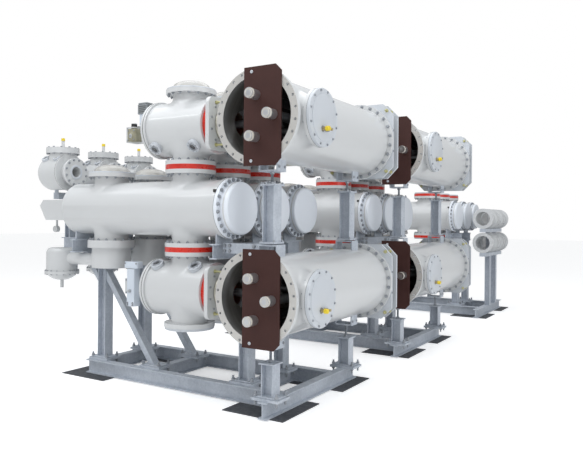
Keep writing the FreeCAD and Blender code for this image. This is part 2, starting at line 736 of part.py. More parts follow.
def gear_case(z):
    """Small gear case at the free end of the cross shaft with the hand crank socket."""
    y1 = FIRST_PHASE_Y - CRANK_HALF_Y
    x, zz = shaft_x(), z - SHAFT_DROP
    case = box(x - 57, x + 57, y1 - SHAFT_BEYOND + 25, y1, zz - 55, zz + 78)
    knob = cyl(30, 62, V(x - 5, y1 - SHAFT_BEYOND + 70, zz + 78), Z_AXIS)
    body = fuse([case, knob])
    return body.cut(cyl(SHAFT_R + RUN_FIT, SHAFT_BEYOND + 40, V(x, y1 - SHAFT_BEYOND - 20, zz), Y_AXIS))


def square_flange(z):
    """Rounded square flange on the busbar side of the end insulator."""
    s = SQ_FLANGE_HALF
    plate = box(RED_X1, SQ_X1, -s, s, z - s, z + s)
    plate = plate.makeFillet(SQ_FLANGE_R, [e for e in plate.Edges if abs(e.Length - SQ_FLANGE_T) < 0.01])
    return plate.cut(cyl(FOLD_ROOT - 14, SQ_FLANGE_T + 2, V(RED_X1 - 1, 0, z), X_AXIS))


def branch_bellows(z):
    """Bellows from the square flange to the busbar inlet."""
    length = -INLET_FACE_X - SQ_X1
    return folded_bellows(X_AXIS, V(SQ_X1, 0, z), length, FOLD_R, FOLD_ROOT, FOLD_ROOT - 12, FOLD_COUNT)


def branch_rods(z):
    """Tie rods around the branch bellows, with lugs on the busbar inlet."""
    rods = []
    length = -INLET_FACE_X + INLET_FLANGE_T - SQ_X1
    for sy, sz in ((-1, -1), (-1, 1), (1, -1), (1, 1)):
        base = V(SQ_X1, sy * ROD_SPREAD * 0.72, z + sz * ROD_SPREAD)
        rod = cyl(TIE_R, length, base, X_AXIS)
        lug_y = sy * ROD_SPREAD * 0.72
        reach = z + sz * (ROD_SPREAD + 24)
        z0, z1 = sorted((z + sz * (INLET_R - 30), reach))
        x0 = -INLET_FACE_X + INLET_FLANGE_T
        lug = box(x0, x0 + 14, lug_y - 26, lug_y + 26, z0, z1)
        rods.append(fuse([rod, lug]))
    return rods


def dome(x, z, up):
    """Dust cover: a flat rim with a shallow dome."""
    sign = 1 if up else -1
    axis = Z_AXIS * sign
    rim = cyl(NECK_FLANGE_R - 6, DOME_RIM_T, V(x, 0, z), axis)
    ball_r = (DOME_R ** 2 + DOME_H ** 2) / (2 * DOME_H)
    ball = Part.makeSphere(ball_r, V(x, 0, z + sign * (DOME_RIM_T + DOME_H - ball_r)))
    z0, z1 = sorted((z + sign * DOME_RIM_T * 0.5, z + sign * (DOME_RIM_T + DOME_H + 5)))
    cap = ball.common(box(x - 300, x + 300, -300, 300, z0, z1))
    return fuse([rim, cap])


def line_stub():
    """Short flanged stub under the line side neck of a breaker, with its side pipe."""
    z1 = BREAKER_Z - BREAKER_FACE
    x = LINE_SIDE_X
    z0 = z1 - STUB_LEN
    flange = cyl(NECK_FLANGE_R, NECK_FLANGE_T, V(x, 0, z1 - NECK_FLANGE_T), Z_AXIS)
    outer = [flange, cyl(STUB_R, STUB_LEN, V(x, 0, z0), Z_AXIS)]
    pipe_z = UPPER_Z - LINE_PIPE_DROP
    length = x - LINE_TANK_X
    pipe = cyl(LINE_PIPE_R, length, V(LINE_TANK_X, 0, pipe_z), X_AXIS)
    tank = cyl(LOW_TANK_R, 900, V(LINE_TANK_X, 0, pipe_z - 450), Z_AXIS)
    body = fuse(outer + [pipe.cut(tank)])
    return body.cut(cyl(STUB_R - 10, STUB_LEN - 10, V(x, 0, z0 + 11), Z_AXIS))


def low_line_tank():
    """Upright line side tank with a dished bottom cover and a drain valve."""
    z1 = UPPER_Z - LOW_TANK_TOP
    z0 = UPPER_Z - LOW_TANK_BOTTOM
    x = LINE_TANK_X
    body = cyl(LOW_TANK_R, z1 - z0, V(x, 0, z0), Z_AXIS)
    body = body.makeFillet(60, [e for e in body.Edges if abs(e.BoundBox.ZMin - z1) < 0.01 and e.Closed][:1])
    flange = cyl(LOW_TANK_R + 18, 34, V(x, 0, z0), Z_AXIS)
    knee = (z0 - LOW_DISH * 0.55, LOW_TANK_R * 0.74, "arc")
    dish = revolved([(z0, 0.0), (z0, LOW_TANK_R), knee, (z0 - LOW_DISH, 0.0)], Z_AXIS, V(x, 0, 0))
    valve = cyl(20, 110, V(x, 0, z0 - LOW_DISH - 90), Z_AXIS)
    return fuse([body, flange, dish, valve])


def high_line_tank():
    """Horizontal line side tank: dished left end, open flanged neck to the right, top cover."""
    z = UPPER_Z - HIGH_TANK_DROP
    x0, x1 = HIGH_TANK_X0, HIGH_TANK_X1
    xc = LINE_TANK_X
    shell = moved(dished(x0, HIGH_SEAM_X, HIGH_TANK_R - 14, HIGH_DISH), z=z)
    seam = cyl(HIGH_TANK_R, 26, V(HIGH_SEAM_X - 26, 0, z), X_AXIS)
    mouth = cyl(HIGH_FLANGE_R - 34, x1 - HIGH_SEAM_X, V(HIGH_SEAM_X, 0, z), X_AXIS)
    flange = cyl(HIGH_FLANGE_R, 34, V(x1 - 34, 0, z), X_AXIS)
    collar = cyl(HIGH_COVER_R - 28, HIGH_COVER_RISE - 40, V(xc, 0, z), Z_AXIS)
    cover = cyl(HIGH_COVER_R, 34, V(xc, 0, z + HIGH_COVER_RISE - 74), Z_AXIS)
    lid = cyl(HIGH_COVER_R, 34, V(xc, 0, z + HIGH_COVER_RISE - 40), Z_AXIS)
    valve = cyl(18, 90, V(xc, 0, z + HIGH_COVER_RISE - 6), Z_AXIS)
    body = fuse([shell, seam, mouth, flange, collar, cover, lid, valve])
    return body.cut(cyl(HIGH_BORE_R, 260, V(x1 - 260, 0, z), X_AXIS))


def skid_beams(y):
    """Skid: front and rear beams, three inner rails and the right side beam."""
    z = MAT_T
    half = BEAM_W / 2
    right = -half
    beams = [beam_x(SKID_LEFT_X, right, y + SKID_FRONT_Y, z), beam_x(SKID_LEFT_X, right, y + SKID_REAR_Y, z)]
    for x in SKID_RAILS_X:
        beams.append(beam_y(y + SKID_FRONT_Y + half, y + SKID_REAR_Y - half, x, z))
    beams.append(beam_y(y + SIDE_Y0, y + SIDE_Y1, 0.0, z))
    return beams


def base_plate(x, y):
    """Base plate of a post, on the skid."""
    half_x, half_y = PLATE_W / 2, PLATE_D / 2
    return box(x - half_x, x + half_x, y - half_y, y + half_y, SKID_TOP, SKID_TOP + PLATE_T)


def main_posts(y):
    """Four main posts with their base plates."""
    top = TOP_BEAM_Z - TOP_BEAM_H
    posts = []
    for x in POSTS_X:
        for py in POSTS_Y:
            upright = post(x, y + py, SKID_TOP + PLATE_T, top)
            posts.append(fuse([upright, base_plate(x, y + py)]))
    return posts


def top_beams(y):
    """Cantilevers and short beams between the phases, and the cross beams under the breakers."""
    z = TOP_BEAM_Z - TOP_BEAM_H
    half = TOP_BEAM_W / 2
    beams = []
    for x0, x1 in ((TOP_LEFT_X, CANTILEVER_X1), (SHORT_BEAM_X0, TOP_RIGHT_X)):
        beams += [beam_x(x0, x1, y + gy, z, TOP_BEAM_H, TOP_BEAM_W) for gy in GAPS_Y]
    cuts = [CROSS_Y0] + [g + s * half for g in GAPS_Y for s in (-1, 1)] + [CROSS_Y1]
    for x in CROSS_X:
        for y0, y1 in zip(cuts[::2], cuts[1::2]):
            beams.append(beam_y(y + y0, y + y1, x, z, TOP_BEAM_H, TOP_BEAM_W))
    return beams


def breaker_saddles(y):
    """Curved saddles between the cross beams and the breaker tanks."""
    saddles = []
    for yc in phases(y):
        skin = cyl(BREAKER_R, 3000, V(BREAKER_LEFT_X + BREAKER_DISH, yc, BREAKER_Z), X_AXIS)
        for x in CROSS_X:
            block = box(x - 10, x + 10, yc - 130, yc + 130, TOP_BEAM_Z, BREAKER_Z - BREAKER_R + 60)
            saddles.append(block.cut(skin))
    return saddles


def braces(y):
    """Two diagonal braces from the post heads down to the middle skid rail."""
    result = []
    x0, x1 = POSTS_X[0] + POST_W / 2, SKID_RAILS_X[1]
    z0, z1 = SKID_TOP + PLATE_T, TOP_BEAM_Z - TOP_BEAM_H - 230
    for py in POSTS_Y:
        half = BRACE_W / 2
        run = BRACE_W * 1.25
        points = [(x0, z1), (x0, z1 - run), (x1 - run * 0.55, z0), (x1 + run * 0.25, z0)]
        wire = Part.makePolygon([V(px, y + py - half, pz) for px, pz in points + points[:1]])
        bar = Part.Face(wire).extrude(V(0, BRACE_W, 0))
        result.append(fuse([bar, base_plate(x1, y + py)]))
    return result


def knee_braces(y):
    """Knee braces under the left cantilevers."""
    result = []
    x1 = POSTS_X[0] - POST_W / 2
    z1 = TOP_BEAM_Z - TOP_BEAM_H
    for py in POSTS_Y[:1]:
        half = 30
        points = [(x1, z1 - 330), (x1, z1 - 420), (x1 - 330, z1), (x1 - 250, z1)]
        wire = Part.makePolygon([V(px, y + py - half, pz) for px, pz in points + points[:1]])
        result.append(Part.Face(wire).extrude(V(0, 2 * half, 0)))
    return result


def stands(y):
    """Busbar stands: short posts on the skid, posts between the busbars and the link channels."""
    pieces = []
    reach = BUS_R + 4
    for sy in STAND_Y:
        yy = y + sy
        low_top = UPPER_Z - LOW_POST_TOP
        foot = fuse([post(0, yy, SKID_TOP + PLATE_T, low_top, STAND_W), base_plate(0, yy)])
        pieces.append(foot)
        high = post(0, yy, UPPER_Z - HIGH_POST_BOTTOM, UPPER_Z - HIGH_POST_TOP, STAND_W)
        caps = [box(-85, 85, yy - 85, yy + 85, z0, z0 + BRACKET_T)
                for z0 in (UPPER_Z - HIGH_POST_BOTTOM - BRACKET_T, UPPER_Z - HIGH_POST_TOP)]
        pieces.append(fuse([high] + caps))
        pieces.append(saddle_bracket(yy, LOWER_Z, -1, reach))
        pieces.append(saddle_bracket(yy, LOWER_Z, 1, reach))
        pieces.append(saddle_bracket(yy, UPPER_Z, -1, reach))
    return pieces


def saddle_bracket(y, z, side, reach):
    """Bracket on a busbar tank with two cheeks and a plate for the jack screw."""
    half = BRACKET_W / 2
    drop = BUS_R + 96
    z0, z1 = sorted((z + side * (BUS_R - 60), z + side * drop))
    cheek_x, ct = BRACKET_CHEEK_X, CHEEK_T / 2
    cheeks = [box(s * cheek_x - ct, s * cheek_x + ct, y - half, y + half, z0, z1) for s in (-1, 1)]
    p0, p1 = sorted((z + side * (drop - BRACKET_T), z + side * drop))
    plate = box(-cheek_x - ct, cheek_x + ct, y - half, y + half, p0, p1)
    return fuse(cheeks + [plate]).cut(cyl(BUS_R, BRACKET_W, V(0, y - half, z), Y_AXIS))


def jack_screws(y):
    """Jack screws with their nuts between the posts and the busbar brackets."""
    screws = []
    plate = BUS_R + 96
    for sy in STAND_Y:
        spans = [
            (UPPER_Z - LOW_POST_TOP, LOWER_Z - plate),
            (LOWER_Z + plate, UPPER_Z - HIGH_POST_BOTTOM - BRACKET_T),
            (UPPER_Z - HIGH_POST_TOP + BRACKET_T, UPPER_Z - plate),
        ]
        for z0, z1 in spans:
            if z1 - z0 < 1.0:
                continue
            nut = min(24.0, (z1 - z0) / 3)
            stud = cyl(JACK_R, z1 - z0, V(0, y + sy, z0), Z_AXIS)
            nuts = [cyl(26, nut, V(0, y + sy, end), Z_AXIS) for end in (z0, z1 - nut)]
            screws.append(fuse([stud] + nuts))
    return screws


def link_channels(y):
    """Channels that tie the top frame to the busbar stands."""
    result = []
    z = LOWER_Z + BUS_R - LINK_CLEAR
    x0, x1 = CROSS_X[-1] + TOP_BEAM_W / 2, -BRACKET_CHEEK_X - CHEEK_T / 2
    for sy in STAND_Y[:1]:
        web = box(x0, x1, y + sy - 30, y + sy - 22, z, z + LINK_H)
        low = box(x0, x1, y + sy - 22, y + sy + 30, z, z + 10)
        high = box(x0, x1, y + sy - 22, y + sy + 30, z + LINK_H - 10, z + LINK_H)
        result.append(fuse([web, low, high]))
    return result


def line_tank_frame(y):
    """Posts and cross beam on the cantilevers that carry the upper line side tanks."""
    x = TOP_LEFT_X + 110
    pieces = []
    z_tank = UPPER_Z - HIGH_TANK_DROP
    top = z_tank - HIGH_TANK_R - 10
    for gy in GAPS_Y:
        pieces.append(post(x, y + gy, TOP_BEAM_Z, top - 80, 90.0))
    pieces.append(box(x - 50, x + 50, y + 430, y + 1720, top - 80, top))
    for yc in phases(y):
        skin = cyl(HIGH_TANK_R - 14, 900, V(x - 300, yc, z_tank), X_AXIS)
        y0 = max(yc - 100, y + 430)
        pieces.append(box(x - 30, x + 30, y0, yc + 110, top, z_tank - 60).cut(skin))
    return pieces


def floor_mats():
    """Flat mats under the skid corners."""
    mats = []
    for y in BAY_Y:
        near, far = y + SIDE_Y0 + 60, y + SIDE_Y1 - MAT_BACK
        mats.append(box(-510, 190, near, near + MAT_W, 0, MAT_T))
        mats.append(box(-510, 190, far, far + MAT_W, 0, MAT_T))
        mats.append(box(SKID_LEFT_X - 230, SKID_LEFT_X + 470, near + 130, near + 130 + MAT_W - 160, 0, MAT_T))
        mats.append(box(SKID_LEFT_X - 230, SKID_LEFT_X + 470, far, far + MAT_W - 160, 0, MAT_T))
    return mats


def duct_tees():
    """Single phase duct pieces with open front flanges beside the third bay."""
    pieces = []
    y0 = BAY_Y[2] + FIRST_PHASE_Y + DUCT_START
    bore = DUCT_R - 12
    for k in range(PHASES):
        y = y0 + k * DUCT_PITCH
        for drop in DUCT_DROPS:
            z = UPPER_Z - drop
            duct = tube(DUCT_R, bore, DUCT_LEN, V(DUCT_X, y, z), Y_AXIS)
            rings = [tube(DUCT_RING_R, bore, 34, V(DUCT_X, y + dy, z), Y_AXIS) for dy in (0, DUCT_LEN - 34)]
            pieces.append(fuse([duct] + rings))
    return pieces


def duct_frame():
    """Stand of the duct pieces on the third skid, its posts between the pieces."""
    y0 = BAY_Y[2] + FIRST_PHASE_Y + DUCT_START
    y1 = y0 + (PHASES - 1) * DUCT_PITCH + DUCT_LEN
    tops = [UPPER_Z - drop - DUCT_RING_R - DUCT_SEAT for drop in DUCT_DROPS]
    half = 60
    pieces = [box(DUCT_X - half, DUCT_X + half, y0, y1, top - DUCT_BEAM_H, top) for top in tops]
    gap = 0.5 * (DUCT_PITCH - DUCT_LEN)
    for k in range(PHASES - 1):
        py = y0 + DUCT_LEN + gap + k * DUCT_PITCH
        pieces.append(post(DUCT_X, py, SKID_TOP, tops[1] - DUCT_BEAM_H, 100.0))
        pieces.append(box(DUCT_X - 40, DUCT_X + 40, py - 30, py + 30, tops[1], tops[0] - DUCT_BEAM_H))
    return pieces


def at_phases(origin, shape):
    """Return copies of a shape at the phases of a bay."""
    return [moved(shape, y=y) for y in phases(origin)]


def export(name, shapes):
    """Write one node, one or more separate solids, to its STEP file."""
    shape = shapes[0] if len(shapes) == 1 else Part.makeCompound(shapes)
    shape = moved(shape, x=-ORIGIN_X, y=-ORIGIN_Y)
    shape.exportStep("parts/" + name + ".step")


def build():
    """Build and export every node."""
    os.makedirs("parts", exist_ok=True)
    levels = ((UPPER_Z, "upper", True), (LOWER_Z, "lower", False))
    tank, sleeve_low, sleeve_bare = breaker_tank(), contact_sleeve(True), contact_sleeve(False)
    moving = moving_contact()

    for n, y in enumerate(BAY_Y, 1):
        export("skid_bay_%d" % n, skid_beams(y))
        export("breaker_tanks_bay_%d" % n, at_phases(y, tank))
        export("breaker_moving_contacts_bay_%d" % n, at_phases(y, moving))
        frame = main_posts(y) + top_beams(y) + braces(y) + knee_braces(y) + breaker_saddles(y)
        if n <= len(FULL_BAYS):
            frame += line_tank_frame(y)
        export("support_frame_bay_%d" % n, frame)

    full = list(enumerate(FULL_BAYS, 1))
    for z, level, up in levels:
        bus = busbar_tank(z)
        disc = disconnector_tank(z, up)
        rod = contact_rod(z)
        shaft = cross_shaft(z)
        for n, y in full:
            export("%s_busbar_tank_bay_%d" % (level, n), [moved(bus, y=y)])
            export("%s_disconnector_tanks_bay_%d" % (level, n), at_phases(y, disc))
            export("%s_contact_rods_bay_%d" % (level, n), at_phases(y, rod))
            export("%s_cross_shaft_bay_%d" % (level, n), [moved(shaft, y=y)])

    rear = BUS_LENGTH + SQUARE_T + SQUARE_GAP
    row = {name: [] for name in (
        "bus_conductors", "bus_insulators", "transport_boards", "busbar_stands", "compensator_plates",
        "branch_bellows", "line_stubs", "lower_line_tanks", "upper_line_tanks", "access_port_covers",
        "gas_valves", "compensator_bellows", "branch_square_flanges", "tie_rods", "neck_spacer_rings",
        "end_spacer_rings", "breaker_end_covers", "breaker_drives",
        "breaker_fixed_contacts", "breaker_contact_sleeves", "sleeve_supports", "end_covers",
        "contact_blocks", "post_insulators", "gear_housings", "motor_drives", "viewports",
        "dust_covers", "jack_screws")}
    for n, y in full:
        for z, level, up in levels:
            row["bus_insulators"].append(moved(bus_insulator(z), y=y))
            row["bus_conductors"] += [moved(s, y=y) for s in bus_conductors(z) + bus_taps(z)]
            row["transport_boards"].append(moved(transport_board(z), y=y))
            row["compensator_plates"] += [moved(square_plate(py, z), y=y) for py in (BUS_LENGTH, rear)]
            row["branch_bellows"] += at_phases(y, branch_bellows(z))
            row["access_port_covers"].append(moved(port_cover(z), y=y))
            row["gas_valves"].append(moved(gas_valve(z), y=y))
            row["compensator_bellows"].append(moved(compensator_bellows(z), y=y))
            row["tie_rods"] += [moved(s, y=y) for s in corner_ties(z)]
            row["branch_square_flanges"] += at_phases(y, square_flange(z))
            row["tie_rods"] += [s for r in branch_rods(z) for s in at_phases(y, r)]
            row["end_spacer_rings"] += at_phases(y, end_ring(z))
            row["end_covers"] += at_phases(y, end_cover(z))
            row["contact_blocks"] += at_phases(y, contact_block(z))
            row["post_insulators"] += at_phases(y, post_insulator(z))
            row["gear_housings"] += at_phases(y, crank_box(z))
            if up:
                row["gear_housings"].append(moved(gear_case(z), y=y))
                row["motor_drives"].append(moved(motor_drive(z), y=y + FIRST_PHASE_Y))
            else:
                row["motor_drives"].append(moved(low_motor_drive(z), y=y))
            for x, tilt in view_places(up):
                row["viewports"] += at_phases(y, viewport_piece(x, tilt, z, up))
            sign = 1 if up else -1
            row["dust_covers"] += at_phases(y, dome(BUS_SIDE_X, z + sign * DISC_FACE, up))
        row["dust_covers"] += at_phases(y, dome(LINE_SIDE_X, BREAKER_Z + BREAKER_FACE, True))
        row["neck_spacer_rings"] += at_phases(y, neck_ring(BUS_SIDE_X, BREAKER_Z + BREAKER_FACE))
        row["neck_spacer_rings"] += at_phases(y, neck_ring(BUS_SIDE_X, BREAKER_Z - BREAKER_FACE - RING_T))
        row["breaker_fixed_contacts"] += at_phases(y, fixed_contact())
        row["breaker_contact_sleeves"] += at_phases(y, sleeve_low)
        row["jack_screws"] += jack_screws(y)
        row["busbar_stands"] += stands(y) + link_channels(y)
        row["line_stubs"] += at_phases(y, line_stub())
        row["lower_line_tanks"] += at_phases(y, low_line_tank())
        row["upper_line_tanks"] += at_phases(y, high_line_tank())
    third = BAY_Y[2]
    for x in (BUS_SIDE_X, LINE_SIDE_X):
        for up in (True, False):
            sign = 1 if up else -1
            row["dust_covers"] += at_phases(third, dome(x, BREAKER_Z + sign * BREAKER_FACE, up))
    row["breaker_contact_sleeves"] += at_phases(third, sleeve_bare)
    for n, y in enumerate(BAY_Y, 1):
        row["breaker_end_covers"] += at_phases(y, breaker_cover())
        row["breaker_drives"] += at_phases(y, breaker_drive()) + at_phases(y, breaker_gauge())
        row["sleeve_supports"] += at_phases(y, sleeve_support())
    for name, shapes in row.items():
        export(name, shapes)
    export("floor_mats", floor_mats())
    export("duct_pieces", duct_tees())
    export("duct_stand", duct_frame())


build()
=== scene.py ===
"""Looks of a gas-insulated switchgear row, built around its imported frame.

Everything is drawn in the drawing frame of the part's source, in metres: X = 0 on the busbar
axis with +X to the busbar side, Y = 0 in the first front flange with +Y along the busbars,
Z = 0 on the floor. Datum holds the shift to the row frame, measured on the frame's own nodes.
"""
import json
import logging
import math
from dataclasses import dataclass
from enum import Enum
from typing import ClassVar, Dict, List, Optional, Sequence, Tuple

import bmesh
import bpy
import numpy as np
from mathutils import Matrix, Vector

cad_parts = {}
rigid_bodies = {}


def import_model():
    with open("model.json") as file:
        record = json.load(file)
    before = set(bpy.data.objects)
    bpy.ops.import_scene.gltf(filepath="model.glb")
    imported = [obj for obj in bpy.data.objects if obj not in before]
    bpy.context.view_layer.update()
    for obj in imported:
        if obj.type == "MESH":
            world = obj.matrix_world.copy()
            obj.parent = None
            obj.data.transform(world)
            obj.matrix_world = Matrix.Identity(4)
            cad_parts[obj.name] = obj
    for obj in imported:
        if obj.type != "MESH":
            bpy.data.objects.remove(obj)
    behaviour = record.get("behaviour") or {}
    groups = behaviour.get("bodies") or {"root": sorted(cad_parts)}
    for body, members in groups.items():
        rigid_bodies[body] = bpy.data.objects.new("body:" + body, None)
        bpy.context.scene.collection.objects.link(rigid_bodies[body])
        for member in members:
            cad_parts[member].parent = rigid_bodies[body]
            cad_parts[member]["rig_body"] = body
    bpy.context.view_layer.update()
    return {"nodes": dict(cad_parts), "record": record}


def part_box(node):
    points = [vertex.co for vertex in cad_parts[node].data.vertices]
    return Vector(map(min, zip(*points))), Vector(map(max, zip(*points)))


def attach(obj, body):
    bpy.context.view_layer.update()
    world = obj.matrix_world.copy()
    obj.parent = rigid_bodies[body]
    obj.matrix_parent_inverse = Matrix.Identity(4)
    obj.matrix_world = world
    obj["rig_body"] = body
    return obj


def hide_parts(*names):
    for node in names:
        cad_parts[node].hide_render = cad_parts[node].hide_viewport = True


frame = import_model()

LOG = logging.getLogger("switchgear")
ROOT = "switchgear"
Point = Tuple[float, float, float]
Colour = Tuple[float, float, float]
Profile = Sequence[Tuple[float, float]]
Vec = Sequence[float]
Socket = bpy.types.NodeSocket
Material = bpy.types.Material
ORIGIN: Point = (0.0, 0.0, 0.0)
X_AXIS: Point = (1.0, 0.0, 0.0)
Y_AXIS: Point = (0.0, 1.0, 0.0)
Z_AXIS: Point = (0.0, 0.0, 1.0)


class Slot(Enum):
    """Material slots of the record."""

    PAINT = "tank_paint"
    ZINC = "galvanised"
    YELLOW_ZINC = "passivated_steel"
    BELLOWS = "bellows_steel"
    RED = "red_epoxy"
    RESIN = "insulator_resin"
    BAR = "conductor"
    SHAFT = "shaft_steel"
    BOARD = "brown_board"
    FILM = "dust_cover_film"
    MAT = "mat_rubber"


class Face(Enum):
    """Direction a fastener or a neck points to."""

    RIGHT = (1.0, 0.0, 0.0)
    LEFT = (-1.0, 0.0, 0.0)
    BACK = (0.0, 1.0, 0.0)
    FRONT = (0.0, -1.0, 0.0)
    UP = (0.0, 0.0, 1.0)
    DOWN = (0.0, 0.0, -1.0)


# Datum


@dataclass(frozen=True)
class Datum:
    """Where the drawing frame and its repeated stations lie."""

    shift: Point
    upper: float
    lower: float
    bays: Tuple[float, ...]
    first_phase: float = 0.331
    pitch: float = 0.625
    phases: int = 3

    @classmethod
    def measured(cls) -> "Datum":
        """Read the datum from the boxes of the busbar tanks and skids.

        Returns:
            The datum, with shift added to a drawing point to give a row point.
        """
        lo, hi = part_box("upper_busbar_tank_bay_1")
        low_lo, low_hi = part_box("lower_busbar_tank_bay_1")
        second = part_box("upper_busbar_tank_bay_2")[0].y - lo.y
        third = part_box("skid_bay_3")[0].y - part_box("skid_bay_1")[0].y
        shift = ((lo.x + hi.x) / 2, lo.y, 0.0)
        return cls(shift, (lo.z + hi.z) / 2, (low_lo.z + low_hi.z) / 2, (0.0, second, third))

    @property
    def breaker(self) -> float:
        """Height of the breaker axis."""
        return (self.upper + self.lower) / 2

    @property
    def full_bays(self) -> Tuple[float, ...]:
        """Y of the bays that have busbars."""
        return self.bays[:2]

    def phase_y(self, bay: float) -> List[float]:
        """Return the Y of the phases of a bay."""
        return [bay + self.first_phase + k * self.pitch for k in range(self.phases)]


# Node graphs


class Graph:
    """Short hand for one material's node tree, its patterns on Object coordinates."""

    def __init__(self, name: str) -> None:
        """Make an empty Principled material."""
        self.material = bpy.data.materials.new(name)
        self.material.use_nodes = True
        self.tree = self.material.node_tree
        self.shader = self.tree.nodes["Principled BSDF"]
        self.place = self.tree.nodes.new("ShaderNodeTexCoord").outputs["Object"]

    def put(self, node: bpy.types.Node, key: object, value: object) -> None:
        """Link or set one input."""
        socket = node.inputs[key]
        if isinstance(value, Socket):
            self.tree.links.new(value, socket)
        elif isinstance(value, tuple) and len(value) == 3 and socket.type == "RGBA":
            socket.default_value = (*value, 1.0)
        else:
            socket.default_value = value

    def set(self, **values: object) -> "Graph":
        """Set the shader's inputs, with _ for a blank in their names."""
        for key, value in values.items():
            self.put(self.shader, key.replace("_", " "), value)
        return self

    def math(self, kind: str, a: object, b: object = 0.0, clamp: bool = False) -> Socket:
        """Return the output of a Math node."""
        node = self.tree.nodes.new("ShaderNodeMath")
        node.operation = kind
        node.use_clamp = clamp
        self.put(node, 0, a)
        self.put(node, 1, b)
        return node.outputs[0]

    def stretched(self, scale: Point) -> Socket:
        """Return Object coordinates scaled per axis."""
        node = self.tree.nodes.new("ShaderNodeMapping")
        self.put(node, "Vector", self.place)
        node.inputs["Scale"].default_value = scale
        return node.outputs[0]

    def noise(self, scale: float, detail: float = 4.0, rough: float = 0.5,
              where: Optional[Socket] = None) -> Socket:
        """Return a noise pattern from 0 to 1."""
        node = self.tree.nodes.new("ShaderNodeTexNoise")
        self.put(node, "Vector", where or self.place)
        self.put(node, "Scale", scale)
        self.put(node, "Detail", detail)
        self.put(node, "Roughness", rough)
        return node.outputs["Fac"]

    def cells(self, scale: float) -> Socket:
        """Return the shade of Voronoi cells."""
        node = self.tree.nodes.new("ShaderNodeTexVoronoi")
        self.put(node, "Vector", self.place)
        self.put(node, "Scale", scale)
        apart = self.tree.nodes.new("ShaderNodeSeparateColor")
        self.put(apart, 0, node.outputs["Color"])
        return apart.outputs[0]

    def ramp(self, fac: Socket, low: float, high: float) -> Socket:
        """Return 0 below low and 1 above high."""
        node = self.tree.nodes.new("ShaderNodeMapRange")
        node.interpolation_type = "SMOOTHSTEP"
        self.put(node, "Value", fac)
        self.put(node, "From Min", low)
        self.put(node, "From Max", high)
        return node.outputs[0]

    def span(self, fac: Socket, low: float, high: float) -> Socket:
        """Return a pattern of 0 to 1 spread from low to high."""
        node = self.tree.nodes.new("ShaderNodeMapRange")
        self.put(node, "Value", fac)
        self.put(node, "To Min", low)
        self.put(node, "To Max", high)
        return node.outputs[0]

    def blend(self, fac: object, a: object, b: object) -> Socket:
        """Return a mix of two colours."""
        node = self.tree.nodes.new("ShaderNodeMix")
        node.data_type = "RGBA"
        self.put(node, 0, fac)
        self.put(node, 6, a)
        self.put(node, 7, b)
        return node.outputs[2]

    def bump(self, height: Socket, strength: float, distance: float) -> Socket:
        """Return a bumped normal."""
        node = self.tree.nodes.new("ShaderNodeBump")
        self.put(node, "Height", height)
        node.inputs["Strength"].default_value = strength
        node.inputs["Distance"].default_value = distance
        return node.outputs[0]

    def axes(self) -> Tuple[Socket, ...]:
        """Return the x, y and z of Object coordinates."""
        node = self.tree.nodes.new("ShaderNodeSeparateXYZ")
        self.put(node, 0, self.place)
        return tuple(node.outputs)


# Finishes


@dataclass(frozen=True)
class Enamel:
    """Glossy enamel: two close shades in soft clouds, fine orange peel and faint dust."""

    name: str
    light: Colour = (0.63, 0.64, 0.645)
    dim: Colour = (0.54, 0.55, 0.555)
    roughness: float = 0.30
    coat: float = 0.60
    peel: float = 0.04
    dust: float = 0.10
    coat_roughness: float = 0.09

    def graph(self) -> Graph:
        """Return the node graph of the enamel."""
        g = Graph(self.name)
        clouds = g.ramp(g.noise(1.7, 5.0, 0.6), 0.3, 0.8)
        dust = g.ramp(g.noise(9.0, 8.0, 0.65), 0.45, 0.85)
        marks = g.math("ADD", g.math("MULTIPLY", dust, self.dust), g.math("MULTIPLY", clouds, self.dust))
        g.set(Base_Color=g.blend(marks, self.light, self.dim))
        g.set(Roughness=g.span(g.noise(6.0, 6.0), self.roughness * 0.9, self.roughness * 1.15))
        g.set(Coat_Weight=self.coat, Coat_Roughness=self.coat_roughness, IOR=1.5)
        g.set(Normal=g.bump(g.noise(160.0, 2.0), self.peel, 0.002))
        return g

    def build(self) -> Material:
        """Return the material."""
        return self.graph().material


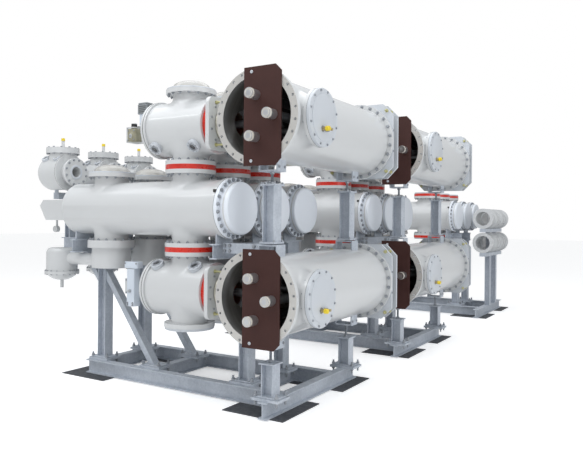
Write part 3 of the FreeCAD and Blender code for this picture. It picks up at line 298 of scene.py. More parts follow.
@dataclass(frozen=True)
class BoredTank(Enamel):
    """Enamel tank whose bore is bare rolled steel, with painted shade that darkens it from the mouth inwards,
    and whose front face is turned.
    """

    centre: Tuple[float, float] = (0.0, 0.0)
    front: float = 0.0
    bore_r: float = 0.384
    flange_r: float = 0.4445
    face_reach: float = 0.0012
    grooves: float = 2400.0
    bore_metal: float = 0.6
    face_metal: float = 0.3
    bare_roughness: float = 0.33
    rolled: Tuple[Colour, Colour] = ((0.13, 0.115, 0.095), (0.46, 0.45, 0.43))
    unshaded_mouth_colour: Colour = (0.40, 0.40, 0.39)
    # lighter bore colour at the mouth; deeper in, painted shade darkens the bore
    bore_shade_depth: Tuple[float, float] = (0.11, 0.045)
    machined: Tuple[Colour, Colour] = ((0.50, 0.485, 0.46), (0.62, 0.605, 0.575))

    def build(self) -> Material:
        """Return the material, told apart by the distance r from the tank axis and by y."""
        g = self.graph()
        x, y, z = g.axes()
        dx, dz = g.math("SUBTRACT", x, self.centre[0]), g.math("SUBTRACT", z, self.centre[1])
        r = g.math("SQRT", g.math("ADD", g.math("MULTIPLY", dx, dx), g.math("MULTIPLY", dz, dz)))
        depth = g.math("SUBTRACT", y, self.front)
        inside = g.math("LESS_THAN", r, self.bore_r)
        near = g.math("LESS_THAN", g.math("ABSOLUTE", depth), self.face_reach)
        face = g.math("MULTIPLY", near, g.math("SUBTRACT", 1.0, g.math("GREATER_THAN", r, self.flange_r)))
        bare = g.math("MAXIMUM", inside, face)
        inputs = g.shader.inputs
        paint, paint_rough = (inputs[key].links[0].from_socket for key in ("Base Color", "Roughness"))
        streaks = g.noise(3.0, 4.0, 0.6, g.stretched((1.0, 7.0, 1.0)))
        # painted shade: over the first 45 to 110 mm into the bore the lighter mouth colour fades to the
        # darker streaked steel
        lip = g.ramp(depth, *self.bore_shade_depth)
        steel = g.blend(lip, g.blend(streaks, *self.rolled), self.unshaded_mouth_colour)
        machined = g.blend(g.noise(1.0, 2.0, 0.5, g.stretched((2.0, 2.0, 2.0))), *self.machined)
        g.set(Base_Color=g.blend(face, g.blend(inside, paint, steel), machined))
        metal = g.math("SUBTRACT", self.bore_metal, g.math("MULTIPLY", face, self.face_metal))
        g.set(Metallic=g.math("MULTIPLY", bare, metal))
        painted = g.math("MULTIPLY", g.math("SUBTRACT", 1.0, bare), paint_rough)
        g.set(Roughness=g.math("ADD", painted, g.math("MULTIPLY", bare, self.bare_roughness)))
        rings = g.math("SINE", g.math("MULTIPLY", r, self.grooves))
        g.set(Normal=g.bump(g.math("MULTIPLY", rings, face), 0.04, 0.0003))
        return g.material


@dataclass(frozen=True)
class Zinc:
    """Hot dip galvanised steel: spangle cells, soft run marks and dull patches."""

    name: str
    light: Colour = (0.62, 0.66, 0.72)
    dark: Colour = (0.42, 0.46, 0.52)
    metal: float = 0.12
    roughness: float = 0.50
    spangle: float = 55.0
    shares: Point = (0.35, 0.40, 0.25)

    def build(self) -> Material:
        """Return the material."""
        g = Graph(self.name)
        patches = g.ramp(g.noise(5.0, 6.0, 0.6), 0.35, 0.7)
        runs = g.noise(3.0, 5.0, 0.6, g.stretched((9.0, 9.0, 1.2)))
        shades = (g.cells(self.spangle), patches, runs)
        cells, patches, runs = (g.math("MULTIPLY", a, share) for a, share in zip(shades, self.shares))
        mixed = g.math("ADD", g.math("ADD", cells, patches), runs)
        g.set(Base_Color=g.blend(mixed, self.dark, self.light), Metallic=self.metal)
        g.set(Roughness=g.span(mixed, self.roughness * 1.25, self.roughness * 0.8))
        g.set(Normal=g.bump(g.noise(70.0, 4.0), 0.12, 0.002))
        return g.material


@dataclass(frozen=True)
class Moulded:
    """Cast or moulded surface of one colour with a mottle and a fine grain."""

    name: str
    colour: Colour
    shade: Colour
    roughness: float = 0.4
    scale: float = 14.0
    grain: float = 0.05
    coat: float = 0.0
    metal: float = 0.0
    see_through: float = 0.0

    def build(self) -> Material:
        """Return the material."""
        g = Graph(self.name)
        mottle = g.ramp(g.noise(self.scale, 6.0, 0.6), 0.3, 0.75)
        g.set(Base_Color=g.blend(mottle, self.colour, self.shade))
        g.set(Roughness=g.span(g.noise(self.scale * 3, 4.0), self.roughness * 0.8, self.roughness * 1.25))
        g.set(Coat_Weight=self.coat, Metallic=self.metal, Transmission_Weight=self.see_through)
        g.set(Normal=g.bump(g.noise(self.scale * 20, 3.0), self.grain, 0.001))
        return g.material


@dataclass(frozen=True)
class Laminate:
    """Dark brown laminate board: long faint scratches and handling marks."""

    name: str = "brown laminate"
    ground: Tuple[Colour, Colour] = ((0.038, 0.013, 0.011), (0.062, 0.024, 0.020))
    grain: Colour = (0.09, 0.04, 0.034)
    scratched: Colour = (0.30, 0.20, 0.17)
    grain_share: float = 0.25
    scratch_share: float = 0.35

    def build(self) -> Material:
        """Return the material."""
        g = Graph(self.name)
        cloud = g.noise(4.0, 6.0, 0.65)
        fine = g.noise(60.0, 6.0, 0.7, g.stretched((3.0, 1.0, 0.25)))
        scratch = g.ramp(g.noise(9.0, 10.0, 0.8, g.stretched((6.0, 1.0, 0.8))), 0.66, 0.74)
        base = g.blend(g.math("MULTIPLY", fine, self.grain_share), g.blend(cloud, *self.ground), self.grain)
        g.set(Base_Color=g.blend(g.math("MULTIPLY", scratch, self.scratch_share), base, self.scratched))
        g.set(Roughness=g.span(cloud, 0.50, 0.66), Specular_IOR_Level=0.25)
        g.set(Normal=g.bump(fine, 0.08, 0.0008))
        return g.material


@dataclass(frozen=True)
class Turned:
    """Turned or drawn metal: fine lines across one axis and a slight tint."""

    name: str
    light: Colour
    dark: Colour
    along: Point = (1.0, 40.0, 1.0)
    roughness: float = 0.3
    metal: float = 0.9

    def build(self) -> Material:
        """Return the material."""
        g = Graph(self.name)
        lines = g.noise(14.0, 6.0, 0.7, g.stretched(self.along))
        g.set(Base_Color=g.blend(lines, self.dark, self.light), Metallic=self.metal)
        g.set(Roughness=g.span(lines, self.roughness * 0.7, self.roughness * 1.4))
        g.set(Normal=g.bump(lines, 0.06, 0.0006))
        return g.material


class Finish(Enum):
    """Every finish of the row, with its recipe."""

    ENAMEL = Enamel("grey enamel")
    COVER = Enamel("cover enamel", (0.58, 0.61, 0.65), (0.52, 0.55, 0.59), 0.36, 0.2)
    # painted light: a lighter, bluer copy of the grey enamel for the right-facing breaker end covers
    LIT_DISC = Enamel("end disc enamel with painted light", (0.82, 0.86, 0.92), (0.76, 0.80, 0.86), 0.40, 0.2)
    ZINC = Zinc("galvanised steel")
    BOLT = Zinc("zinc bolts", (0.46, 0.48, 0.51), (0.26, 0.28, 0.31), 0.60, 0.36, 90.0)
    YELLOW = Moulded("yellow passivated zinc", (0.62, 0.58, 0.28), (0.46, 0.46, 0.30), 0.34, 40.0, metal=0.7)
    RED = Moulded("red cast resin", (0.72, 0.028, 0.012), (0.56, 0.020, 0.010), 0.28, 8.0, 0.04, 0.4)
    RESIN = Moulded("insulator resin", (0.42, 0.20, 0.11), (0.34, 0.15, 0.08), 0.35, 20.0)
    BOARD = Laminate()
    BAR = Turned("drawn aluminium", (0.74, 0.75, 0.77), (0.50, 0.51, 0.53))
    SILVER = Turned("silver plated copper", (0.70, 0.69, 0.66), (0.52, 0.50, 0.47), (1.0, 12.0, 12.0))
    SHAFT = Turned("turned shaft steel", (0.62, 0.63, 0.64), (0.40, 0.41, 0.42), (1.0, 30.0, 1.0))
    BELLOWS = Turned("bellows steel", (0.66, 0.64, 0.55), (0.42, 0.40, 0.33), (30.0, 1.0, 1.0), 0.28)
    CAP = Moulded("cream cap", (0.70, 0.67, 0.60), (0.60, 0.57, 0.50), 0.5, 30.0)
    FILM = Moulded("clear dust cover", (0.62, 0.61, 0.58), (0.52, 0.49, 0.44), 0.16, 5.0, 0.12, 0.5,
                   see_through=0.3)
    RUBBER = Moulded("rubber mat", (0.055, 0.060, 0.068), (0.10, 0.105, 0.115), 0.75, 22.0, 0.5)
    BLACK = Moulded("black knob", (0.012, 0.012, 0.013), (0.022, 0.022, 0.024), 0.4, 30.0)
    # painted shade: near-black glass stands for the unlit inside of the tank behind the viewports
    SHADED_GLASS = Moulded("viewport glass with painted shade", (0.010, 0.012, 0.014), (0.018, 0.022, 0.024), 0.05, 6.0, 0.0, 1.0)
    SUN_CAP = Moulded("yellow cap", (0.86, 0.66, 0.03), (0.78, 0.56, 0.02), 0.38, 40.0)
    BRASS = Turned("brass fitting", (0.66, 0.55, 0.32), (0.42, 0.34, 0.18), (8.0, 8.0, 8.0), 0.3)
    # dark joints; also painted shade where louvre slots are drawn as dark strips
    SEAM_AND_SHADE = Moulded("dark seams and painted slot shade", (0.035, 0.033, 0.030), (0.05, 0.048, 0.045), 0.7, 30.0)
    CASE = Moulded("drive grey", (0.26, 0.28, 0.29), (0.22, 0.235, 0.245), 0.42, 12.0, 0.08, 0.2)
    CABINET = Enamel("cabinet white", (0.66, 0.72, 0.80), (0.58, 0.64, 0.72), 0.36, 0.2)
    OLIVE = Moulded("gear case bronze", (0.42, 0.40, 0.30), (0.30, 0.285, 0.20), 0.45, 16.0, 0.15, metal=0.35)


# Surfaces


def basis(axis: Vec) -> np.ndarray:
    """Return rows u, v, w of a right-handed frame whose w is the axis.

    Args:
        axis: direction of w.
    Returns:
        A 3 x 3 array.
    """
    w = np.asarray(axis, float)
    w = w / np.linalg.norm(w)
    helper = np.array([0.0, 0.0, 1.0]) if abs(w[2]) < 0.9 else np.array([1.0, 0.0, 0.0])
    u = helper - w * (helper @ w)
    u /= np.linalg.norm(u)
    return np.array([u, np.cross(w, u), w])


def grid_faces(rows: int, columns: int, close_rows: bool, close_columns: bool) -> np.ndarray:
    """Return the quads that join a grid of points.

    Args:
        rows: number of rows.
        columns: number of columns.
        close_rows: whether the last row joins the first.
        close_columns: whether the last column joins the first.
    Returns:
        An integer array of shape (quads, 4).
    """
    i = np.arange(rows if close_rows else rows - 1)
    j = np.arange(columns if close_columns else columns - 1)
    a, b = np.meshgrid(i, j, indexing="ij")
    a2, b2 = (a + 1) % rows, (b + 1) % columns
    quads = np.stack([a * columns + b, a * columns + b2, a2 * columns + b2, a2 * columns + b], -1)
    return quads.reshape(-1, 4)


class Shell:
    """Surfaces of one piece, gathered as arrays of points and faces."""

    def __init__(self) -> None:
        """Start with no surface."""
        self.points: List[np.ndarray] = []
        self.blocks: List[Tuple[np.ndarray, Optional[Finish]]] = []
        self.total = 0

    def add(self, points: np.ndarray, faces: np.ndarray, finish: Optional[Finish] = None) -> "Shell":
        """Add points and faces of one width.

        Args:
            points: array whose last axis is x, y, z.
            faces: indices into the points.
            finish: what these faces wear, by default the piece's first finish.
        Returns:
            The shell itself.
        """
        flat = np.asarray(points, float).reshape(-1, 3)
        self.points.append(flat)
        self.blocks.append((np.asarray(faces) + self.total, finish))
        self.total += len(flat)
        return self

    def revolve(self, profile: Profile, base: Vec, axis: Vec, segments: int, closed: bool = False,
                finish: Optional[Finish] = None) -> "Shell":
        """Turn a profile about an axis: point = base + s w + r (cos t u + sin t v).

        Args:
            profile: (s along the axis, r from it) pairs.
            base: point on the axis where s is 0.
            axis: direction of the axis.
            segments: number of steps round.
            closed: whether the last profile point joins the first.
            finish: what it wears.
        Returns:
            The shell itself.
        """
        u, v, w = basis(axis)
        s, r = np.asarray(profile, float).T
        t = np.arange(segments) * 2 * math.pi / segments
        ring = np.cos(t)[:, None] * u + np.sin(t)[:, None] * v
        points = np.asarray(base, float) + s[:, None, None] * w + r[:, None, None] * ring
        return self.add(points, grid_faces(len(s), segments, closed, True), finish)

    def turned(self, base: Vec, axis: Vec, *parts: Tuple[Profile, int, Finish]) -> "Shell":
        """Turn several profiles about one axis, each given with its steps round and its finish."""
        for profile, segments, finish in parts:
            self.revolve(profile, base, axis, segments, finish=finish)
        return self

    def band(self, at: float, half: float, radii: Tuple[float, float], base: Vec, axis: Vec, segments: int,
             finish: Optional[Finish] = None) -> "Shell":
        """Add a thin closed ring, such as a joint line, of a rectangular section."""
        inner, outer = radii
        section = [(at - half, inner), (at - half, outer), (at + half, outer), (at + half, inner)]
        return self.revolve(section, base, axis, segments, True, finish)

    def bead(self, at: float, radius: float, base: Vec, axis: Vec, half: float, shoulder: float,
             segments: int, crown: float = 0.0035, finish: Optional[Finish] = None) -> "Shell":
        """Add a weld bead round a wall.

        Args:
            at: place along the axis.
            radius: radius of the wall.
            base: point on the axis.
            axis: direction of the axis.
            half: half the width of the bead's foot.
            shoulder: half the width of its rounded top.
            segments: number of steps round.
            crown: height of its middle over the wall.
            finish: what it wears.
        Returns:
            The shell itself.
        """
        foot, edge = radius - 0.003, radius + 0.002
        section = [(at - half, foot), (at - shoulder, edge), (at, radius + crown), (at + shoulder, edge),
                   (at + half, foot)]
        return self.revolve(section, base, axis, segments, True, finish)

    def prism(self, outline: Profile, base: Vec, axis: Vec, depth: float, finish: Optional[Finish] = None,
              bevel: float = 0.0, across: Optional[Vec] = None) -> "Shell":
        """Push an outline along an axis, with the edges of both ends drawn in by a bevel.

        Args:
            outline: (a, b) pairs in the plane across the axis, counter-clockwise.
            base: point of the outline's origin.
            axis: direction of the push.
            depth: length of the push.
            finish: what it wears.
            bevel: size of the bevel at both ends.
            across: direction of a, by default the frame's u.
        Returns:
            The shell itself.
        """
        u, v, w = basis(axis)
        if across is not None:
            u = np.asarray(across, float)
            v = np.cross(w, u)
        flat = np.asarray(outline, float)
        count = len(flat)
        centre = flat.mean(0)
        size = np.abs(flat - centre).max()
        inner = centre + (flat - centre) * (1 - bevel / size)
        steps = [(inner, 0.0), (flat, bevel), (flat, depth - bevel), (inner, depth)]
        if bevel == 0.0:
            steps = steps[1:3]
        rings = [np.asarray(base, float) + ab[:, :1] * u + ab[:, 1:] * v + s * w for ab, s in steps]
        start = self.total
        self.add(np.concatenate(rings), grid_faces(len(rings), count, False, True), finish)
        caps = np.array([np.arange(count)[::-1], np.arange(count) + count * (len(rings) - 1)])
        self.blocks.append((caps + start, finish))
        return self

    def column(self, halves: Tuple[float, float], radius: float, base: Vec, height: float,
               finish: Optional[Finish] = None, bevel: float = 0.0) -> "Shell":
        """Add an upright block with rounded corners, given half its width in x and y."""
        return self.prism(rounded_rect(*halves, radius), base, Z_AXIS, height, finish, bevel, X_AXIS)

    def box(self, low: Vec, high: Vec, finish: Optional[Finish] = None, bevel: float = 0.0) -> "Shell":
        """Add a block between two corners, its upright and end edges bevelled.

        Args:
            low: lowest corner.
            high: highest corner.
            finish: what it wears.
            bevel: size of the bevel.
        Returns:
            The shell itself.
        """
        (x0, y0, z0), (x1, y1, z1) = low, high
        c = bevel
        outline = [(x0, y0), (x1, y0), (x1, y1), (x0, y1)]
        if c > 0.0:
            outline = [(x0 + c, y0), (x1 - c, y0), (x1, y0 + c), (x1, y1 - c), (x1 - c, y1), (x0 + c, y1),
                       (x0, y1 - c), (x0, y0 + c)]
        return self.prism(outline, (0.0, 0.0, z0), Z_AXIS, z1 - z0, finish, bevel, X_AXIS)

    def stamp(self, template: "Shell", places: np.ndarray) -> "Shell":
        """Add copies of another shell, all at once: point = place applied to the template's point.

        Args:
            template: shell drawn about its own origin.
            places: (count, 4, 4) matrices.
        Returns:
            The shell itself.
        """
        points = np.concatenate(template.points)
        count = len(places)
        moved = np.einsum("kij,nj->kni", places[:, :3, :3], points) + places[:, None, :3, 3]
        start = self.total
        self.points.append(moved.reshape(-1, 3))
        self.total += count * len(points)
        offsets = start + np.arange(count) * len(points)
        for faces, finish in template.blocks:
            self.blocks.append(((faces[None] + offsets[:, None, None]).reshape(-1, faces.shape[1]), finish))
        return self

    def copies(self, shifts: Sequence[Point]) -> "Shell":
        """Return a new shell that holds this one at each shift."""
        places = np.tile(np.eye(4), (len(shifts), 1, 1))
        places[:, :3, 3] = np.asarray(shifts, float)
        return Shell().stamp(self, places)

    def join(self, other: "Shell") -> "Shell":
        """Add another shell as it is."""
        return self.stamp(other, np.eye(4)[None])


def ring_places(base: Vec, axis: Vec, radius: float, count: int) -> np.ndarray:
    """Return places on a bolt circle from half a step on, z along the axis and x outwards.

    Args:
        base: centre of the circle.
        axis: direction that the fasteners point to.
        radius: pitch circle radius.
        count: number of places.
    Returns:
        (count, 4, 4) matrices.
    """
    u, v, w = basis(axis)
    t = (np.arange(count) + 0.5) * 2 * math.pi / count
    out = np.cos(t)[:, None] * u + np.sin(t)[:, None] * v
    places = np.tile(np.eye(4), (count, 1, 1))
    places[:, :3, 0] = out
    places[:, :3, 1] = np.cross(w, out)
    places[:, :3, 2] = w
    places[:, :3, 3] = np.asarray(base, float) + out * radius
    return places


def spot_places(points: Sequence[Vec], axis: Vec) -> np.ndarray:
    """Return places at single points, all pointing along one axis.

    Args:
        points: where they stand.
        axis: direction they point to.
    Returns:
        (count, 4, 4) matrices.
    """
    u, v, w = basis(axis)
    places = np.tile(np.eye(4), (len(points), 1, 1))
    places[:, :3, 0], places[:, :3, 1], places[:, :3, 2] = u, v, w
    places[:, :3, 3] = np.asarray(points, float)
    return places


def corners(a: float, b: float) -> List[Tuple[float, float]]:
    """Return the four points that lie a and b to either side of the middle."""
    return [(side_a * a, side_b * b) for side_a in (-1, 1) for side_b in (-1, 1)]


def arc(centre: Tuple[float, float], radius: float, start: float, end: float,
        steps: int) -> List[Tuple[float, float]]:
    """Return points of a flat arc, angles in degrees."""
    t = np.radians(np.linspace(start, end, steps))
    return list(zip(centre[0] + radius * np.cos(t), centre[1] + radius * np.sin(t)))


def rounded_rect(half_a: float, half_b: float, radius: float, steps: int = 5) -> List[Tuple[float, float]]:
    """Return the outline of a rectangle with rounded corners, counter-clockwise."""
    a, b = half_a - radius, half_b - radius
    corners = [((a, b), 0), ((-a, b), 90), ((-a, -b), 180), ((a, -b), 270)]
    return [p for centre, turn in corners for p in arc(centre, radius, turn, turn + 90, steps)]


def weld_blend(tank_axis: Vec, tank_centre: Vec, tank_r: float, neck_axis: Vec, neck_r: float, fillet: float,
               segments: int, steps: int = 9) -> Shell:
    """Return the flared root of a neck on a round tank.

    For each angle p round the neck, the curve is a quadratic Bezier in the plane of the neck axis.
    It leaves the neck wall upright and lands on the tank at radius neck_r + fillet, along the tank
    surface h(rho) = sqrt(R^2 - (rho sin p)^2). Two inner points close the section inside the walls.

    Args:
        tank_axis: axis of the tank.
        tank_centre: point where the two axes meet.
        tank_r: outer radius of the tank.
        neck_axis: direction of the neck.
        neck_r: outer radius of the neck.
        fillet: reach of the flare on the tank.
        segments: steps round the neck.
        steps: steps along the flare.
    Returns:
        A closed ring shell.
    """
    sunk = 0.004
    a = np.asarray(tank_axis, float)
    n = np.asarray(neck_axis, float)
    b = np.cross(n, a)
    p = np.arange(segments) * 2 * math.pi / segments
    sin2 = np.sin(p) ** 2
    outer = neck_r + fillet
    height = np.sqrt(tank_r ** 2 - outer ** 2 * sin2)
    corner = height + outer * sin2 / height * fillet
    t = np.linspace(0.0, 1.0, steps)[:, None]
    rho = (1 - t) ** 2 * neck_r + 2 * t * (1 - t) * neck_r + t ** 2 * outer + 0 * p
    h = (1 - t) ** 2 * (corner + fillet) + 2 * t * (1 - t) * corner + t ** 2 * height
    rho = np.concatenate([rho, [outer - sunk + 0 * p], [neck_r - sunk + 0 * p], [neck_r - sunk + 0 * p]])
    low = np.sqrt(tank_r ** 2 - (neck_r - sunk) ** 2 * sin2) - sunk
    h = np.concatenate([h, [height - sunk], [low], [corner + fillet - sunk]])
    points = (np.asarray(tank_centre, float) + h[..., None] * n
              + (rho * np.cos(p))[..., None] * a + (rho * np.sin(p))[..., None] * b)
    return Shell().add(points, grid_faces(len(rho), segments, True, True))


# Workshop


def place(name: str, data: bpy.types.ID) -> bpy.types.Object:
    """Return a new object of the scene that holds the data."""
    made = bpy.data.objects.new(name, data)
    bpy.context.scene.collection.objects.link(made)
    return made


class Workshop:
    """Turns shells into pieces that ride on the frame.

    The angles are in degrees, and a steeper edge stays sharp. Points nearer than a merge distance
    become one, and edges shorter than the empty length go.
    """

    PIECE_ANGLE = 32.0
    COPY_ANGLE = 28.0
    PIECE_MERGE = 2e-6
    COPY_MERGE = 1e-5
    EMPTY = 1e-7

    def __init__(self, datum: Datum) -> None:
        """Keep the datum and make every material once."""
        self.datum = datum
        self.materials: Dict[Finish, Material] = {finish: finish.value.build() for finish in Finish}

    def piece(self, name: str, shell: Shell, slot: Slot, *finishes: Finish,
              stands_for: Sequence[str] = ()) -> None:
        """Make one piece from a shell.

        Args:
            name: name of the piece.
            shell: its surfaces in the drawing frame.
            slot: material slot of the record, not used.
            finishes: its finishes, the first worn by the surfaces that name none.
            stands_for: nodes it replaces.
        """
        mesh = bpy.data.meshes.new(name)
        points = np.concatenate(shell.points) + np.asarray(self.datum.shift)
        faces = [f for block, _ in shell.blocks for f in block.tolist()]
        marks = [np.full(len(block), finishes.index(worn or finishes[0])) for block, worn in shell.blocks]
        mesh.from_pydata(points.tolist(), [], faces)
        for finish in finishes:
            mesh.materials.append(self.materials[finish])
        mesh.polygons.foreach_set("material_index", np.concatenate(marks).astype(np.int32))
        self.seal(mesh)
        self.enter(name, mesh, ROOT, self.PIECE_ANGLE, stands_for)

    def smoothed(self, name: str, node: str, material: Material) -> None:
        """Stand in for a node with a merged, smoothly shaded copy of its mesh.

        Args:
            name: name of the piece.
            node: node that is copied and replaced.
            material: what it wears.
        """
        mesh = frame["nodes"][node].data.copy()
        mesh.name = name
        mesh.materials.clear()
        mesh.materials.append(material)
        if mesh.has_custom_normals:
            mesh.attributes.remove(mesh.attributes["custom_normal"])
        work = bmesh.new()
        work.from_mesh(mesh)
        bmesh.ops.remove_doubles(work, verts=work.verts, dist=self.COPY_MERGE)
        work.to_mesh(mesh)
        work.free()
        self.enter(name, mesh, frame["nodes"][node]["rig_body"], self.COPY_ANGLE, [node])

    def seal(self, mesh: bpy.types.Mesh) -> None:
        """Merge doubles, drop empty faces and turn the faces outwards."""
        work = bmesh.new()
        work.from_mesh(mesh)
        bmesh.ops.remove_doubles(work, verts=work.verts, dist=self.PIECE_MERGE)
        bmesh.ops.dissolve_degenerate(work, dist=self.EMPTY, edges=work.edges)
        bmesh.ops.recalc_face_normals(work, faces=work.faces)
        work.to_mesh(mesh)
        work.free()

    def enter(self, name: str, mesh: bpy.types.Mesh, body: str, angle: float,
              stands_for: Sequence[str]) -> None:
        """Put a finished mesh into the scene as a piece.

        Args:
            name: name of the piece.
            mesh: its mesh.
            body: body it rides on.
            angle: angle in degrees above which an edge stays sharp.
            stands_for: nodes it replaces.
        """
        mesh.shade_smooth()
        mesh.set_sharp_from_angle(angle=math.radians(angle))
        made = place(name, mesh)
        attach(made, body)
        if stands_for:
            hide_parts(*stands_for)
        LOG.info("%s: %d faces", name, len(mesh.polygons))

    def dress(self, finish: Finish, *nodes: str) -> None:
        """Give nodes of the frame a finish."""
        for name in nodes:
            slots = frame["nodes"][name].data.materials
            slots.clear()
            slots.append(self.materials[finish])


# Fasteners


@dataclass(frozen=True)
class HexBolt:
    """Hexagon bolt or nut on a washer, drawn about its seat and pointing along +z.

    The shared ratios are to the thread's diameter.
    """

    WASHER_R: ClassVar[float] = 0.98
    WASHER_T: ClassVar[float] = 0.15
    HEAD_R: ClassVar[float] = 0.88
    HEAD_H: ClassVar[float] = 0.66
    CROWN_R: ClassVar[float] = 0.76
    STUD_R: ClassVar[float] = 0.5
    STUD_END_R: ClassVar[float] = 0.4
    CHAMFER: ClassVar[float] = 0.1

    thread: float
    stud: float = 0.0

    def shell(self) -> Shell:
        """Return the template: a washer, a chamfered hexagon and the stud's end where one stands out."""
        d = self.thread
        cut = self.CHAMFER * d
        seat = self.WASHER_T * d
        top = seat + self.HEAD_H * d
        washer, head, stud = self.WASHER_R * d, self.HEAD_R * d, self.STUD_R * d
        s = Shell()
        s.revolve([(0.0, washer), (seat, washer), (seat, 0.0)], ORIGIN, Z_AXIS, 12)
        s.revolve([(seat, head), (top - cut, head), (top, self.CROWN_R * d), (top, 0.0)], ORIGIN, Z_AXIS, 6)
        if self.stud > 0:
            end = top + self.stud
            tip = [(top, stud), (end - cut, stud), (end, self.STUD_END_R * d), (end, 0.0)]
            s.revolve(tip, ORIGIN, Z_AXIS, 8)
        return s


class Fasteners(Shell):
    """Bolts gathered for one piece."""

    def ring(self, bolt: HexBolt, base: Vec, face: Face, radius: float, count: int) -> None:
        """Add a bolt circle."""
        self.stamp(bolt.shell(), ring_places(base, face.value, radius, count))

    def spots(self, bolt: HexBolt, points: Sequence[Vec], face: Face) -> None:
        """Add single bolts."""
        self.stamp(bolt.shell(), spot_places(points, face.value))


@dataclass
class Station:
    """Where a bay's sub-assembly of one level stands: its first flange along Y and the height of its axis."""

    bay: int
    level: str
    y: float
    z: float

    @property
    def tag(self) -> str:
        """Return the end of every piece name."""
        return f"{self.level}_bay_{self.bay}"


# Busbar tanks


@dataclass
class BusbarTank(Station):
    """Dress of one busbar tank: port root, port cover, bolts and weld beads."""

    tank_r: float = 0.390
    length: float = 2.180
    rear_t: float = 0.040
    rear_bolts_r: float = 0.419
    port_y: float = 0.365
    port_r: float = 0.230
    port_fillet: float = 0.052
    port_face: float = 0.504
    port_back: float = 0.438
    port_bolts_r: float = 0.250
    port_nuts_r: float = 0.252
    step_r: float = 0.218
    joint_x: float = 0.470
    joint_r: Tuple[float, float] = (0.264, 0.2706)
    inlet_r: float = 0.150
    inlet_fillet: float = 0.030
    front_weld: float = 0.062
    rear_weld: float = 0.018
    cap_places: Tuple[Tuple[float, float], ...] = ((0.008, 0.191), (0.195, 0.0), (0.008, -0.191))

    def build(self, shop: Workshop) -> None:
        """Make every piece of the tank."""
        node = f"{self.level}_busbar_tank_bay_{self.bay}"
        x, y, _ = shop.datum.shift
        bored = BoredTank(f"{self.level} bored tank {self.bay}", centre=(x, self.z), front=y + self.y)
        shop.smoothed(f"busbar_tank_{self.tag}", node, bored.build())
        shop.piece(f"busbar_welds_{self.tag}", self.roots(shop.datum), Slot.PAINT, Finish.ENAMEL)
        shop.piece(f"busbar_bolts_{self.tag}", self.bolts(), Slot.ZINC, Finish.BOLT)
        shop.piece(f"port_cover_rim_{self.tag}", self.cover(), Slot.PAINT, Finish.COVER, Finish.SEAM_AND_SHADE)

    def roots(self, datum: Datum) -> Shell:
        """Return the flared roots of the port and of the three inlets, and two weld beads."""
        s = weld_blend(Y_AXIS, (0, self.y + self.port_y, self.z), self.tank_r, X_AXIS, self.port_r,
                       self.port_fillet, 72)
        for y in datum.phase_y(self.y):
            s.join(weld_blend(Y_AXIS, (0, y, self.z), self.tank_r, Face.LEFT.value, self.inlet_r,
                              self.inlet_fillet, 40, 7))
        for y in (self.front_weld, self.length - self.rear_t - self.rear_weld):
            s.bead(y, self.tank_r, (0, self.y, self.z), Y_AXIS, half=0.012, shoulder=0.008, segments=96)
        return s

    def bolts(self) -> Shell:
        """Return the rear flange bolts and the port cover bolts."""
        f = Fasteners()
        port = self.y + self.port_y
        rear = self.y + self.length - self.rear_t
        f.ring(HexBolt(0.020, 0.010), (0, rear, self.z), Face.FRONT, self.rear_bolts_r, 24)
        f.ring(HexBolt(0.012), (self.port_face, port, self.z), Face.RIGHT, self.port_bolts_r, 12)
        f.ring(HexBolt(0.012, 0.008), (self.port_back, port, self.z), Face.LEFT, self.port_nuts_r, 12)
        return f

    def cover(self) -> Shell:
        """Return the turned step on the port cover and the dark joint behind it."""
        centre = (0.0, self.y + self.port_y, self.z)
        x, r = self.port_face, self.step_r
        step = [(x - 0.004, r), (x + 0.0035, r), (x + 0.005, r - 0.004), (x + 0.005, 0.0)]
        s = Shell().revolve(step, centre, X_AXIS, 72)
        return s.band(self.joint_x, 0.0012, self.joint_r, centre, X_AXIS, 72, Finish.SEAM_AND_SHADE)


@dataclass
class ConductorCaps:
    """Cream caps on the front ends of the bus conductors, two screws on each board."""

    front: float = -0.135
    radius: float = 0.046
    wall: float = 0.0018
    depth: float = 0.030
    board_face: float = -0.012
    screw_x: float = -0.042
    screw_rise: float = 0.405

    def build(self, shop: Workshop, tanks: Sequence[BusbarTank]) -> None:
        """Make the caps and the board screws."""
        caps, screws = Shell(), Shell()
        r, d, out = self.radius, self.depth, self.radius + self.wall
        cap = [(d, r), (d, out), (0.007, out), (0.002, r - 0.002), (0.0, r - 0.008), (0.0, r * 0.62),
               (0.002, r * 0.58), (0.002, 0.0)]
        head = Shell().revolve([(0.0, 0.015), (0.005, 0.015), (0.009, 0.010), (0.009, 0.006), (0.004, 0.006),
                                (0.004, 0.0)], ORIGIN, Z_AXIS, 20)
        for tank in tanks:
            for x, dz in tank.cap_places:
                caps.revolve(cap, (x, tank.y + self.front, tank.z + dz), Y_AXIS, 40)
            rises = (-self.screw_rise, self.screw_rise)
            spots = [(self.screw_x, tank.y + self.board_face, tank.z + dz) for dz in rises]
            screws.stamp(head, spot_places(spots, Face.FRONT.value))
        shop.piece("conductor_caps", caps, Slot.BAR, Finish.CAP)
        shop.piece("board_screws", screws, Slot.BOARD, Finish.COVER)


